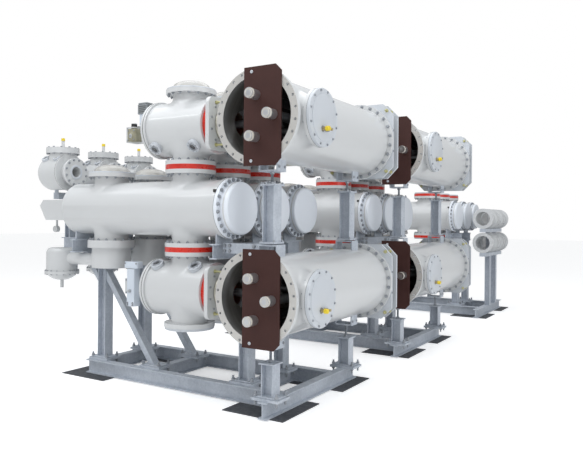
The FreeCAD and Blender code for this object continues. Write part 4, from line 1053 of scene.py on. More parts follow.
@dataclass
class Compensator:
    """Nuts and side screws of the two square plates behind a busbar tank."""

    tank: BusbarTank
    half: float = 0.436
    chamfer: float = 0.130
    stud_ratio: float = 0.62
    plate: float = 0.030
    gap: float = 0.110
    side_screw: float = 0.120
    bolts_r: float = 0.362

    def build(self, shop: Workshop) -> None:
        """Make the fasteners of both plates."""
        y0 = self.tank.y + self.tank.length
        z = self.tank.z
        at = self.half - self.chamfer * self.stud_ratio
        inner = y0 + self.plate
        rear = y0 + 2 * self.plate + self.gap
        studs, bolts = Fasteners(), Fasteners()
        for stud, y, face in ((0.026, y0, Face.FRONT), (0.026, rear, Face.BACK),
                              (0.0, inner, Face.BACK), (0.0, inner + self.gap, Face.FRONT)):
            studs.spots(HexBolt(0.022, stud), [(x, y, z + dz) for x, dz in corners(at, at)], face)
        sides = [(self.half, y0 + self.plate / 2, z + dz) for dz in (-self.side_screw, self.side_screw)]
        bolts.spots(HexBolt(0.012), sides, Face.RIGHT)
        bolts.ring(HexBolt(0.020), (0, rear, z), Face.BACK, self.bolts_r, 24)
        shop.piece(f"corner_nuts_{self.tank.tag}", studs, Slot.YELLOW_ZINC, Finish.YELLOW)
        shop.piece(f"compensator_bolts_{self.tank.tag}", bolts, Slot.ZINC, Finish.BOLT)


@dataclass
class GasValves:
    """Gas filling valves low on the port covers: brass body, yellow cap and a steel side fitting."""

    face: float = 0.504
    drop: float = 0.105
    y_offset: float = 0.335
    side_x: float = 0.018
    outlet_y: float = 0.078

    def build(self, shop: Workshop, tanks: Sequence[BusbarTank]) -> None:
        """Make all valves and stand in for their node."""
        spots = [(self.face, tank.y + self.y_offset, tank.z - self.drop) for tank in tanks]
        shop.piece("gas_filling_valves", self.one().copies(spots), Slot.YELLOW_ZINC, Finish.BRASS,
                   Finish.SUN_CAP, Finish.BOLT, stands_for=["gas_valves"])

    def one(self) -> Shell:
        """Return one valve about its seat: body and cap, side fitting with its nut, outlet."""
        s = Shell()
        side = (self.side_x, 0.0, 0.0)
        s.turned(
            ORIGIN, X_AXIS,
            ([(0.0, 0.0), (0.0, 0.030), (0.006, 0.030), (0.006, 0.0)], 24, Finish.BOLT),
            ([(0.006, 0.019), (0.026, 0.019), (0.026, 0.0)], 6, Finish.BRASS),
            ([(0.026, 0.014), (0.044, 0.014), (0.044, 0.0)], 20, Finish.BRASS),
            ([(0.040, 0.0), (0.040, 0.024), (0.072, 0.023), (0.078, 0.019), (0.080, 0.0)], 24,
             Finish.SUN_CAP),
        )
        s.turned(
            side, Y_AXIS,
            ([(0.010, 0.011), (0.046, 0.011), (0.046, 0.020), (0.062, 0.020), (0.062, 0.014), (0.070, 0.014),
              (0.070, 0.019), (0.086, 0.019), (0.090, 0.015), (0.090, 0.0)], 16, Finish.BOLT),
            ([(0.048, 0.022), (0.060, 0.022)], 6, Finish.BOLT),
        )
        outlet = [(0.010, 0.009), (0.030, 0.009), (0.030, 0.013), (0.044, 0.013), (0.044, 0.0)]
        return s.revolve(outlet, (self.side_x, self.outlet_y, 0.0), X_AXIS, 14)


# Breakers


@dataclass
class BreakerRow:
    """Dress of the three breakers of one bay."""

    bay: int
    y: float
    full: bool
    tank_r: float = 0.288
    neck_r: float = 0.188
    neck_fillet: float = 0.045
    neck_bolts_r: float = 0.235
    neck_flange_t: float = 0.042
    face: float = 0.394
    ring_t: float = 0.050
    bus_x: float = -1.041
    line_x: float = -2.200
    flange_x: float = -0.505
    flange_t: float = 0.036
    bolt_r: float = 0.284
    joint_r: Tuple[float, float] = (0.300, 0.3056)
    left_weld_x: float = -2.690
    flange_weld: float = 0.014
    cover_weld: Tuple[float, float] = (-0.420, 0.262)
    mark_low: Point = (-0.026, -0.274, 0.151)
    mark_high: Point = (-0.002, -0.250, 0.179)

    def build(self, shop: Workshop) -> None:
        """Make the neck roots, bolts and joints of the breakers."""
        roots, seams, bolts = Shell(), Shell(), Fasteners()
        z = shop.datum.breaker
        for y in shop.datum.phase_y(self.y):
            for x in (self.bus_x, self.line_x):
                for up in (1, -1):
                    roots.join(weld_blend(X_AXIS, (x, y, z), self.tank_r, (0, 0, up), self.neck_r,
                                          self.neck_fillet, 64))
                    self.neck_bolts(bolts, x, y, z, up)
            self.end_joint(seams, bolts, y, z)
        shop.smoothed(f"breaker_tanks_{self.bay}", f"breaker_tanks_bay_{self.bay}",
                      shop.materials[Finish.ENAMEL])
        shop.piece(f"breaker_neck_roots_{self.bay}", roots, Slot.PAINT, Finish.ENAMEL)
        shop.piece(f"breaker_bolts_{self.bay}", bolts, Slot.ZINC, Finish.BOLT)
        shop.piece(f"breaker_joints_{self.bay}", seams, Slot.PAINT, Finish.SEAM_AND_SHADE, Finish.ENAMEL)

    def neck_bolts(self, bolts: Fasteners, x: float, y: float, z: float, up: int) -> None:
        """Add the nuts under one neck flange, and the heads on the flange beyond its ring."""
        away, toward = (Face.UP, Face.DOWN) if up > 0 else (Face.DOWN, Face.UP)
        nut = HexBolt(0.018, 0.010)
        bolts.ring(nut, (x, y, z + up * (self.face - self.neck_flange_t)), toward, self.neck_bolts_r, 16)
        if self.full and x == self.bus_x:
            beyond = self.face + self.ring_t + self.neck_flange_t
            bolts.ring(nut, (x, y, z + up * beyond), away, self.neck_bolts_r, 16)

    def end_joint(self, seams: Shell, bolts: Fasteners, y: float, z: float) -> None:
        """Add the right flange joint, its bolts, the weld beads and the small mark on the flange."""
        x = self.flange_x
        base = (0, y, z)
        bolts.ring(HexBolt(0.020, 0.006), (x + self.flange_t, y, z), Face.RIGHT, self.bolt_r, 24)
        seams.band(x, 0.0015, self.joint_r, base, X_AXIS, 72)
        for at, r in ((self.left_weld_x, self.tank_r), (x - self.flange_t - self.flange_weld, self.tank_r),
                      self.cover_weld):
            seams.bead(at, r, base, X_AXIS, half=0.012, shoulder=0.007, segments=72, finish=Finish.ENAMEL)
        seams.box(np.add((x, y, z), self.mark_low), np.add((x, y, z), self.mark_high))


# Disconnectors


@dataclass
class DisconnectorRow(Station):
    """Dress of the three disconnectors of one bay and level."""

    tank_r: float = 0.280
    left_x: float = -1.437
    right_x: float = -0.690
    cover_t: float = 0.030
    cover_bolts_r: float = 0.278
    joint_r: Tuple[float, float] = (0.285, 0.3008)
    left_weld: float = 0.040
    right_weld: float = 0.012
    neck_x: float = -1.041
    neck_r: float = 0.188
    neck_fillet: float = 0.060
    neck_bolts_r: float = 0.235
    neck_flange_z: float = 0.342
    eye_x: float = -1.021
    eye_rise: float = 0.296
    eye_lean: float = 20.0
    square_x: float = -0.598
    square_bolts_r: float = 0.226
    inlet_back: float = -0.444
    inlet_face: float = -0.430
    inlet_bolts_r: float = 0.176
    rod_y: float = 0.150
    rod_z: float = 0.208

    def build(self, shop: Workshop) -> None:
        """Make the pieces of the three poles."""
        shifts = [(0.0, y, self.z) for y in shop.datum.phase_y(self.y)]
        node = f"{self.level}_disconnector_tanks_bay_{self.bay}"
        shop.smoothed(f"disconnector_tanks_{self.tag}", node, shop.materials[Finish.ENAMEL])
        for name, shell, slot, finishes in (
            ("disconnector_roots", self.roots(), Slot.PAINT, [Finish.ENAMEL]),
            ("disconnector_joints", self.joints(), Slot.PAINT, [Finish.SEAM_AND_SHADE, Finish.ENAMEL]),
            ("disconnector_bolts", self.bolts(), Slot.ZINC, [Finish.BOLT]),
            ("tie_rod_nuts", self.rod_nuts(), Slot.YELLOW_ZINC, [Finish.YELLOW]),
        ):
            shop.piece(f"{name}_{self.tag}", shell.copies(shifts), slot, *finishes)

    def roots(self) -> Shell:
        """Return the flared roots of both necks."""
        s = Shell()
        for up in (1, -1):
            s.join(weld_blend(X_AXIS, (self.neck_x, 0, 0), self.tank_r, (0, 0, up), self.neck_r,
                              self.neck_fillet, 64))
        return s

    def joints(self) -> Shell:
        """Return the dark joint of the end cover, weld beads and the lifting eye."""
        s = Shell()
        s.band(self.left_x, 0.003, self.joint_r, ORIGIN, X_AXIS, 72)
        for at in (self.left_x + self.left_weld, self.right_x - self.right_weld):
            s.bead(at, self.tank_r, ORIGIN, X_AXIS, half=0.010, shoulder=0.006, crown=0.0032, segments=72,
                   finish=Finish.ENAMEL)
        eye = Shell().revolve(arc((0.0, 0.022), 0.006, 0, 360, 9)[:-1], ORIGIN, Y_AXIS, 20, closed=True,
                              finish=Finish.ENAMEL)
        lean = math.radians(self.eye_lean)
        spot = (self.eye_x, -math.sin(lean) * self.eye_rise, math.cos(lean) * self.eye_rise)
        return s.stamp(eye, spot_places([spot], Z_AXIS))

    def bolts(self) -> Shell:
        """Return the end cover bolts, the square flange bolts and the inlet flange bolts."""
        f = Fasteners()
        f.ring(HexBolt(0.018), (self.left_x - self.cover_t, 0, 0), Face.LEFT, self.cover_bolts_r, 20)
        f.ring(HexBolt(0.012), (self.square_x, 0, 0), Face.RIGHT, self.square_bolts_r, 12)
        f.ring(HexBolt(0.016, 0.01), (self.inlet_back, 0, 0), Face.RIGHT, self.inlet_bolts_r, 12)
        if self.level == "upper":
            neck = (self.neck_x, 0, self.neck_flange_z)
            f.ring(HexBolt(0.016, 0.008), neck, Face.DOWN, self.neck_bolts_r, 16)
        return f

    def rod_nuts(self) -> Shell:
        """Return the nuts on both ends of the tie rods round the bellows."""
        f = Fasteners()
        for stud, x, face in ((0.0, self.square_x, Face.RIGHT), (0.0, self.inlet_back, Face.LEFT),
                              (0.012, self.inlet_face, Face.RIGHT)):
            f.spots(HexBolt(0.020, stud), [(x, y, z) for y, z in corners(self.rod_y, self.rod_z)], face)
        return f


@dataclass
class Viewports:
    """Two viewports on each disconnector: welded boss, two stepped rings, small screws, and glass painted
    near-black as the shade of the tank inside.
    """

    views_x: Tuple[float, ...] = (-1.336, -0.830)
    tilts: Tuple[float, float] = (45.0, 55.0)
    radius: float = 0.070
    top: float = 0.318
    screws_r: float = 0.056

    def build(self, shop: Workshop) -> None:
        """Make every viewport and stand in for their node."""
        d = shop.datum
        s = Shell()
        for level, tilt, up in ((d.upper, self.tilts[0], 1), (d.lower, self.tilts[1], -1)):
            lean = math.radians(tilt) * up
            one = self.one(np.array((0.0, -math.cos(lean), -math.sin(lean))))
            phases = [y for bay in d.full_bays for y in d.phase_y(bay)]
            s.join(one.copies([(x, y, level) for y in phases for x in self.views_x]))
        shop.piece("viewport_rings", s, Slot.PAINT, Finish.COVER, Finish.SHADED_GLASS, Finish.BOLT, Finish.SEAM_AND_SHADE,
                   stands_for=["viewports"])

    def one(self, out: np.ndarray) -> Shell:
        """Return one viewport that leaves the tank axis along out: boss, rings, joint, clamp and glass."""
        r, top = self.radius, self.top
        s = Shell()
        s.turned(
            ORIGIN, out,
            ([(0.256, r - 0.004), (0.292, r - 0.004), (0.292, r - 0.008)], 36, Finish.COVER),
            ([(0.291, r - 0.008), (0.291, r - 0.001), (0.293, r), (0.301, r), (0.303, r - 0.002),
              (0.303, r - 0.008)], 40, Finish.COVER),
            ([(0.302, r - 0.005), (0.306, r - 0.005)], 36, Finish.SEAM_AND_SHADE),
            ([(0.305, r - 0.008), (0.305, r - 0.001), (0.307, r), (top - 0.002, r), (top, r - 0.002),
              (top, 0.046), (top - 0.006, 0.042), (top - 0.006, 0.034)], 40, Finish.COVER),
            ([(top - 0.004, 0.043), (top + 0.004, 0.043), (top + 0.005, 0.041), (top + 0.005, 0.033),
              (top - 0.003, 0.029)], 32, Finish.BOLT),
            ([(top - 0.004, 0.034), (top - 0.001, 0.020), (top, 0.0)], 28, Finish.SHADED_GLASS),
        )
        head = [(0.0, 0.0045), (0.004, 0.0045), (0.005, 0.003), (0.005, 0.0)]
        screw = Shell().revolve(head, ORIGIN, Z_AXIS, 10, finish=Finish.BOLT)
        return s.stamp(screw, ring_places(out * top, out, self.screws_r, 8))


@dataclass
class DustCovers:
    """Covers on open necks: moulded clear domes on a bolted rim, and flat lids."""

    rim_r: float = 0.254
    rim_t: float = 0.014
    rim_bolts_r: float = 0.233
    dome_r: float = 0.198
    dome_h: float = 0.090
    shoulder: float = 0.012
    neck_x: float = -1.041
    line_x: float = -2.200
    breaker_face: float = 0.394
    disc_face: float = 0.384
    ring_r: float = 0.260
    ring_t: float = 0.050
    lid_r: float = 0.254
    lid_t: float = 0.026

    def build(self, shop: Workshop) -> None:
        """Make every dust cover and stand in for their node."""
        d = shop.datum
        film, bolts = Shell(), Fasteners()
        for bay in d.full_bays:
            for y in d.phase_y(bay):
                self.dome(film, bolts, (self.neck_x, y, d.upper + self.disc_face), 1)
                self.lid(film, (self.neck_x, y, d.lower - self.disc_face), -1, 0.0)
                self.dome(film, bolts, (self.line_x, y, d.breaker + self.breaker_face), 1)
        for y in d.phase_y(d.bays[2]):
            for up in (1, -1):
                z = d.breaker + up * self.breaker_face
                self.dome(film, bolts, (self.line_x, y, z), up)
                self.lid(film, (self.neck_x, y, z), up, self.ring_t)
        shop.piece("neck_dust_covers", film, Slot.FILM, Finish.FILM, Finish.COVER, Finish.RED,
                   stands_for=["dust_covers"])
        shop.piece("dust_cover_bolts", bolts, Slot.ZINC, Finish.BOLT)

    def lid(self, film: Shell, base: Point, up: int, ring: float) -> None:
        """Add a flat lid, on a red barrier ring where the neck has one."""
        axis = (0, 0, up)
        if ring:
            r = self.ring_r
            barrier = [(0.0, 0.0), (0.0, r - 0.002), (0.003, r), (ring - 0.003, r), (ring, r - 0.003),
                       (ring, 0.0)]
            film.revolve(barrier, base, axis, 56, finish=Finish.RED)
        r, top = self.lid_r, ring + self.lid_t
        plate = [(ring, 0.0), (ring, r - 0.002), (ring + 0.002, r), (top - 0.003, r), (top, r - 0.004),
                 (top, 0.0)]
        film.revolve(plate, base, axis, 56, finish=Finish.COVER)

    def dome(self, film: Shell, bolts: Fasteners, base: Point, up: int) -> None:
        """Add a domed cover: above its shoulder the height is H sqrt(1 - (r / R)^2)."""
        a = np.linspace(1.0, 0.0, 12)
        t, r, rim = self.rim_t, self.dome_r, self.rim_r
        foot, step = t + self.shoulder, r + self.shoulder
        dome = zip(foot + (self.dome_h - self.shoulder) * np.sqrt(1 - a * a), r * a)
        axis = (0, 0, up)
        film.turned(
            base, axis,
            ([(0.0, 0.0), (0.0, rim), (t - 0.003, rim), (t, rim - 0.003), (t, step)], 56, Finish.COVER),
            ([(t, step), (t + 0.004, r + 0.004), *dome], 56, Finish.FILM),
        )
        top = (base[0], base[1], base[2] + up * t)
        bolts.ring(HexBolt(0.008), top, Face.UP if up > 0 else Face.DOWN, self.rim_bolts_r, 12)


# Drives


@dataclass
class DriveTrain:
    """Motor drives and gear cases at the left ends of the disconnectors."""

    shaft_x: float = -1.722
    drop: float = 0.055
    case_x: Tuple[float, float] = (-1.897, -1.467)
    case_half_y: float = 0.080
    case_inset: float = 0.020
    foot_z: float = 0.063
    foot_t: float = 0.010
    column_half: Tuple[float, float] = (0.055, 0.045)
    cabinet_x: float = -1.687
    cabinet_half: Tuple[float, float] = (0.070, 0.055)
    cabinet_z: Tuple[float, float] = (0.198, 0.323)
    roof_t: float = 0.021
    louvres: int = 4
    louvre_pitch: float = 0.020
    louvre_h: float = 0.006
    louvre_ratio: float = 0.7
    low_half: float = 0.057
    low_z: Tuple[float, float] = (-0.221, 0.186)
    head_top: float = 0.256
    head_reach: float = 0.040
    sole_h: float = 0.050
    side_y: Tuple[float, float] = (0.156, 0.251)

    def build(self, shop: Workshop) -> None:
        """Make the drives of both bays and stand in for their node."""
        d = shop.datum
        motors, screws, gears = Shell(), Fasteners(), Shell()
        for bay, finish in zip(d.full_bays, (Finish.CASE, Finish.CABINET)):
            self.upper(motors, screws, (self.cabinet_x, d.phase_y(bay)[0], d.upper), finish)
            self.lower(motors, screws, (self.shaft_x, bay, d.lower))
            self.gear_case(gears, screws, (self.shaft_x, bay, d.upper - self.drop))
            for z in (d.upper, d.lower):
                for y in d.phase_y(bay):
                    self.crank_screws(screws, y, z)
        shop.piece("motor_drive_cabinets", motors, Slot.PAINT, Finish.CASE, Finish.CABINET, Finish.SEAM_AND_SHADE,
                   stands_for=["motor_drives"])
        shop.piece("drive_screws", screws, Slot.ZINC, Finish.BOLT)
        shop.piece("gear_case_faces", gears, Slot.PAINT, Finish.OLIVE, Finish.BLACK, Finish.COVER)

    def upper(self, s: Shell, screws: Fasteners, at: Point, finish: Finish) -> None:
        """Add the louvred cabinet of an upper level on its column, its louvre slots painted as dark strips of
        shade.
        """
        x, y, z = at
        a, b = self.cabinet_half
        z0, z1, foot = z + self.cabinet_z[0], z + self.cabinet_z[1], z + self.foot_z
        s.column((a, b), 0.010, (x, y, z0), z1 - z0 - self.roof_t - 0.001, finish, 0.003)
        s.column((a - 0.003, b - 0.003), 0.010, (x, y, z1 - self.roof_t), self.roof_t, finish, 0.006)
        # painted shade: each louvre slot is a flat dark strip on the front and on the right side
        for k in range(1, self.louvres + 1):
            low = z0 + self.louvre_pitch * k
            high = low + self.louvre_h
            u, v = a * self.louvre_ratio, b * self.louvre_ratio
            s.box((x - u, y - b - 0.0015, low), (x + u, y - b + 0.004, high), Finish.SEAM_AND_SHADE)
            s.box((x + a - 0.004, y - v, low), (x + a + 0.0015, y + v, high), Finish.SEAM_AND_SHADE)
        s.column(self.column_half, 0.006, (x + 0.005, y, foot), z0 - foot, Finish.CABINET)
        s.box((x - 0.055, y - 0.052, foot), (x + 0.065, y + 0.052, foot + self.foot_t), Finish.CABINET, 0.003)
        front = [(x + sx * (a - 0.016), y - b, z0 + dz) for sx in (-1, 1) for dz in (0.010, 0.094)]
        screws.spots(HexBolt(0.008), front, Face.FRONT)

    def lower(self, s: Shell, screws: Fasteners, at: Point) -> None:
        """Add the upright cabinet of a lower level with its wider head and foot plate."""
        x, bay, z = at
        y0, y1 = bay + self.side_y[0], bay + self.side_y[1]
        mid, half, wide = (y0 + y1) / 2, (y1 - y0) / 2, self.low_half
        z0, z1, top = z + self.low_z[0], z + self.low_z[1], z + self.head_top
        s.column((wide - 0.003, half - 0.002), 0.008, (x, mid, z0), z1 - z0, Finish.CABINET, 0.003)
        s.column((wide, half), 0.006, (x, mid, z0), self.sole_h, Finish.CABINET, 0.002)
        s.column((wide + self.head_reach, half - 0.0025), 0.012, (x, mid + 0.0025, z1), top - z1,
                 Finish.CABINET, 0.005)
        door = (x - 0.040, y0 + 0.0005, z0 + 0.110), (x + 0.040, y0 + 0.003, z1 - 0.040)
        s.box(*door, Finish.CABINET, 0.001)
        s.box((x - 0.052, y0 + 0.0012, z1 - 0.006), (x + 0.052, y0 + 0.004, z1 - 0.002), Finish.SEAM_AND_SHADE)
        feet = [(x + sx * 0.038, y0, z0 + dz) for sx in (-1, 1) for dz in (0.014, 0.036)]
        screws.spots(HexBolt(0.012), feet, Face.FRONT)
        ears = [(x + dx, y0 + 0.005, top - 0.018) for dx in (-0.080, 0.080)]
        screws.spots(HexBolt(0.010), ears, Face.FRONT)

    def crank_screws(self, screws: Fasteners, y: float, z: float) -> None:
        """Add the cover screws of one gear housing."""
        x0, x1 = self.case_x
        along = (x0 + self.case_inset, (x0 + x1) / 2, x1 - self.case_inset)
        rim = [(x, y - self.case_half_y, z + dz) for x in along for dz in (-0.088, 0.045)]
        screws.spots(HexBolt(0.009), rim, Face.FRONT)
        ends = [(x0, y + dy, z + dz) for dy in (-0.06, 0.06) for dz in (-0.085, 0.042)]
        screws.spots(HexBolt(0.009), ends, Face.LEFT)

    def gear_case(self, g: Shell, screws: Fasteners, at: Point) -> None:
        """Add the face plate with its round boss, and the black knob on top."""
        x, bay, z = at
        y0, y1 = bay + self.side_y[0], bay + self.side_y[1]
        face = y0 - 0.006
        g.box((x - 0.058, y0 - 0.001, z - 0.056), (x + 0.058, y1 - 0.002, z + 0.079), Finish.OLIVE, 0.002)
        g.box((x - 0.050, face, z - 0.047), (x + 0.050, y0, z + 0.066), Finish.OLIVE, 0.001)
        g.turned(
            (x, face, z), Face.FRONT.value,
            ([(0.0, 0.034), (0.008, 0.034), (0.010, 0.030), (0.010, 0.0)], 28, Finish.OLIVE),
            ([(0.010, 0.022), (0.013, 0.022), (0.013, 0.0)], 28, Finish.COVER),
        )
        knob = [(0.078, 0.0305), (0.090, 0.0305), (0.092, 0.026), (0.100, 0.026), (0.102, 0.0308),
                (0.132, 0.0308), (0.138, 0.028), (0.1405, 0.020), (0.1405, 0.0)]
        g.revolve(knob, (x - 0.005, (y0 + y1) / 2 - 0.0025, z), Z_AXIS, 28, finish=Finish.BLACK)
        spots = [(x + sx * 0.042, face, z + dz) for sx in (-1, 1) for dz in (-0.040, 0.058)]
        screws.spots(HexBolt(0.009), spots, Face.FRONT)


# Line side


@dataclass
class LineSide:
    """Flanges, bolts and small fittings of the line side tanks of one bay."""

    bay: int
    y: float
    tank_x: float = -3.040
    axis_drop: float = 0.395
    face_x: float = -2.800
    flange_t: float = 0.034
    face_bolts_r: float = 0.146
    face_nuts_r: float = 0.149
    cover_z: float = 0.294
    cover_back: float = 0.226
    cover_bolts_r: float = 0.172
    cover_nuts_r: float = 0.176
    cap_z: float = 0.360
    low_drop: float = 1.566
    low_bolts_r: float = 0.1885
    seam_x: float = -2.918
    seam_r: Tuple[float, float] = (0.214, 0.2185)
    views_dx: Tuple[float, float] = (-0.14, 0.06)
    view_tilt: float = 50.0

    def build(self, shop: Workshop) -> None:
        """Make the fittings of the three phases."""
        d = shop.datum
        shell, f = Shell(), Fasteners()
        bolt, nut, small = HexBolt(0.014), HexBolt(0.014, 0.008), HexBolt(0.010, 0.004)
        x, low = self.tank_x, d.upper - self.low_drop
        z = d.upper - self.axis_drop
        for y in d.phase_y(self.y):
            f.ring(bolt, (self.face_x, y, z), Face.RIGHT, self.face_bolts_r, 12)
            f.ring(nut, (self.face_x - self.flange_t, y, z), Face.LEFT, self.face_nuts_r, 12)
            f.ring(bolt, (x, y, z + self.cover_z), Face.UP, self.cover_bolts_r, 12)
            f.ring(bolt, (x, y, z + self.cover_back), Face.DOWN, self.cover_nuts_r, 12)
            f.ring(small, (x, y, low), Face.UP, self.low_bolts_r, 16)
            f.ring(small, (x, y, low - self.flange_t), Face.DOWN, self.low_bolts_r, 16)
            self.mouth(shell, (0.0, y, z))
            self.cap(shell, (x, y, z + self.cap_z))
            for dx in self.views_dx:
                self.view(shell, (x + dx, y, z))
        shop.piece(f"line_fittings_{self.bay}", shell, Slot.PAINT, Finish.COVER, Finish.SUN_CAP, Finish.SHADED_GLASS,
                   Finish.SEAM_AND_SHADE)
        shop.piece(f"line_bolts_{self.bay}", f, Slot.ZINC, Finish.BOLT)

    def mouth(self, shell: Shell, base: Point) -> None:
        """Add the raised lip round the bore and the dark joint line of the tank's seam ring."""
        x = self.face_x
        lip = [(x - 0.001, 0.088), (x + 0.004, 0.086), (x + 0.005, 0.084), (x + 0.005, 0.066),
               (x + 0.001, 0.0605)]
        shell.revolve(lip, base, X_AXIS, 40)
        shell.band(self.seam_x, 0.0015, self.seam_r, base, X_AXIS, 56, Finish.SEAM_AND_SHADE)

    def cap(self, shell: Shell, base: Point) -> None:
        """Add a yellow valve cap on top of an upper tank."""
        cap = [(0.0, 0.016), (0.024, 0.016), (0.024, 0.022), (0.052, 0.021), (0.056, 0.016), (0.056, 0.0)]
        shell.revolve(cap, base, Z_AXIS, 20, finish=Finish.SUN_CAP)

    def view(self, shell: Shell, base: Point) -> None:
        """Add a small viewport on the upper front of a tank."""
        lean = math.radians(self.view_tilt)
        shell.turned(
            base, (0.0, -math.cos(lean), math.sin(lean)),
            ([(0.170, 0.046), (0.226, 0.046), (0.229, 0.043), (0.229, 0.028), (0.223, 0.024)], 28,
             Finish.COVER),
            # painted shade: near-black glass for the unlit tank inside
            ([(0.223, 0.025), (0.225, 0.0)], 24, Finish.SHADED_GLASS),
        )


# Steelwork


@dataclass(frozen=True)
class StandLevels:
    """Stations of the busbar stands: Y from the bay, heights below the upper busbar's axis."""

    y: Tuple[float, float] = (0.280, 1.873)
    foot: float = 2.281
    mid_under: float = 1.162
    mid_plate: float = 1.146
    top_plate: float = 0.601
    saddle: float = 0.486
    bracket: float = 0.440
    link: float = 0.436


@dataclass
class Steelwork:
    """Base plate bolts, beam cleats, head plates and stand bolts of one bay."""

    bay: int
    y: float
    full: bool
    levels: StandLevels = StandLevels()
    skid_top: float = 0.168
    plate_t: float = 0.025
    second_half: Tuple[float, float] = (0.128, 0.088)
    second_t: float = 0.014
    stud_spread: Tuple[float, float] = (0.118, 0.078)
    posts_x: Tuple[float, ...] = (-2.640, -0.535)
    posts_y: Tuple[float, ...] = (0.650, 1.320)
    brace_x: float = -1.810
    beam_top: float = 1.620
    beam_h: float = 0.150
    beam_gap: float = 0.045
    head_half: Tuple[float, float] = (0.080, 0.075)
    head_t: float = 0.014
    cross_x: Tuple[float, ...] = (-2.640, -0.600)
    gaps: Tuple[float, ...] = (0.6435, 1.2685)
    cleat_x: Tuple[Tuple[float, float], ...] = ((-0.018, -0.006), (0.006, 0.018))
    cleat_y: float = 0.075
    cleat_half_z: float = 0.052
    stand_half: float = 0.085
    stand_plate_t: float = 0.016
    stand_spread: float = 0.072
    bracket_x: float = 0.107
    link_x: Tuple[float, float] = (-0.50, -0.15)
    link_spread: Tuple[float, float] = (0.030, 0.026)

    def build(self, shop: Workshop) -> None:
        """Make the bolts and plates."""
        f, plates = Fasteners(), Shell()
        spots = [(x, py) for x in self.posts_x + (self.brace_x,) for py in self.posts_y]
        if self.full:
            spots += [(0.0, sy) for sy in self.levels.y]
        for x, py in spots:
            self.base(f, plates, x, self.y + py)
        self.cross_joints(f, plates)
        self.post_heads(f, plates)
        if self.full:
            self.stand_bolts(f, plates, shop.datum)
        shop.piece(f"steelwork_bolts_{self.bay}", f, Slot.ZINC, Finish.BOLT)
        shop.piece(f"steelwork_plates_{self.bay}", plates, Slot.ZINC, Finish.ZINC)

    def base(self, f: Fasteners, plates: Shell, x: float, y: float) -> None:
        """Add a second plate under a post and four studs with nuts."""
        low = self.skid_top + self.plate_t
        top = low + self.second_t
        a, b = self.second_half
        plates.box((x - a, y - b, low), (x + a, y + b, top), bevel=0.003)
        for stud, z, face in ((0.024, top, Face.UP), (0.030, self.skid_top, Face.DOWN)):
            spots = [(x + dx, y + dy, z) for dx, dy in corners(*self.stud_spread)]
            f.spots(HexBolt(0.022, stud), spots, face)

    def cross_joints(self, f: Fasteners, plates: Shell) -> None:
        """Add the angle cleats and bolts where cross beams meet the long beams."""
        mid = self.beam_top - self.beam_h / 2
        half = self.cleat_half_z
        for x in self.cross_x:
            for gap in self.gaps:
                y = self.y + gap - self.beam_gap
                for a, b in self.cleat_x:
                    plates.box((x + a, y - self.cleat_y, mid - half), (x + b, y, mid + half))
                bolts = [(x + self.cleat_x[1][1], y - self.beam_gap, mid + dz) for dz in (-0.03, 0.03)]
                f.spots(HexBolt(0.016), bolts, Face.RIGHT)

    def post_heads(self, f: Fasteners, plates: Shell) -> None:
        """Add the head plate of each post and its two bolts."""
        under = self.beam_top - self.beam_h
        low = under - self.head_t
        a, b = self.head_half
        for x in self.posts_x:
            for y in (self.y + py for py in self.posts_y):
                plates.box((x - a, y - b, low), (x + a, y + b, under - 0.0005), bevel=0.003)
                f.spots(HexBolt(0.018, 0.01), [(x + dx, y - 0.058, low) for dx in (-0.062, 0.062)], Face.DOWN)

    def stand_bolts(self, f: Fasteners, plates: Shell, datum: Datum) -> None:
        """Add the bolts of the busbar stands and of the link channel."""
        at, up, half, spread = self.levels, datum.upper, self.stand_half, self.stand_spread
        foot = up - at.foot
        for y in (self.y + sy for sy in at.y):
            for z in (up - at.mid_plate, up - at.top_plate):
                spots = [(dx, y + dy, z) for dx, dy in corners(spread, spread)]
                f.spots(HexBolt(0.014, 0.008), spots, Face.UP)
            plates.box((-half, y - half, foot - self.stand_plate_t), (half, y + half, foot), bevel=0.003)
            for z in (up - at.bracket, datum.lower - at.bracket):
                for x, face in ((-self.bracket_x, Face.LEFT), (self.bracket_x, Face.RIGHT)):
                    f.spots(HexBolt(0.014), [(x, y + dy, z) for dy in (-0.05, 0.05)], face)
        y, z = self.y + at.y[0] - 0.030, datum.lower + at.link
        for x in self.link_x:
            spots = [(x + dx, y, z + dz) for dx, dz in corners(*self.link_spread)]
            f.spots(HexBolt(0.020), spots, Face.FRONT)


@dataclass
class JackScrews:
    """Threaded jack screws with nuts between the posts and the busbar brackets."""

    levels: StandLevels = StandLevels()
    radius: float = 0.014
    root_ratio: float = 0.88
    pitch: float = 0.0045
    nut_h: float = 0.022
    nut_r: float = 0.025

    def build(self, shop: Workshop) -> None:
        """Make every jack screw and stand in for the node."""
        s, at = Shell(), self.levels
        up, low = shop.datum.upper, shop.datum.lower
        reaches = ((up - at.foot, low - at.saddle), (low + at.saddle, up - at.mid_under),
                   (up - at.top_plate, up - at.saddle))
        for bay in shop.datum.full_bays:
            for sy in at.y:
                for z0, z1 in reaches:
                    self.screw(s, (0.0, bay + sy, 0.0), z0, z1)
        shop.piece("jack_screw_threads", s, Slot.ZINC, Finish.BOLT, stands_for=["jack_screws"])

    def screw(self, s: Shell, base: Point, z0: float, z1: float) -> None:
        """Add one stud with a saw-tooth thread profile and a nut at each end."""
        count = max(2, int((z1 - z0) / self.pitch))
        z = np.linspace(z0, z1, 2 * count + 1)
        r = np.where(np.arange(len(z)) % 2, self.radius, self.radius * self.root_ratio)
        s.revolve([(z0, 0.0), *zip(z, r), (z1, 0.0)], base, Z_AXIS, 14)
        nut, wide, face = min(self.nut_h, (z1 - z0) / 3), self.nut_r, self.nut_r - 0.003
        for a, b in ((z0, z0 + nut), (z1 - nut, z1)):
            hexagon = [(a, 0.0), (a, face), (a + 0.002, wide), (b - 0.002, wide), (b, face), (b, 0.0)]
            s.revolve(hexagon, base, Z_AXIS, 6)


# Stage


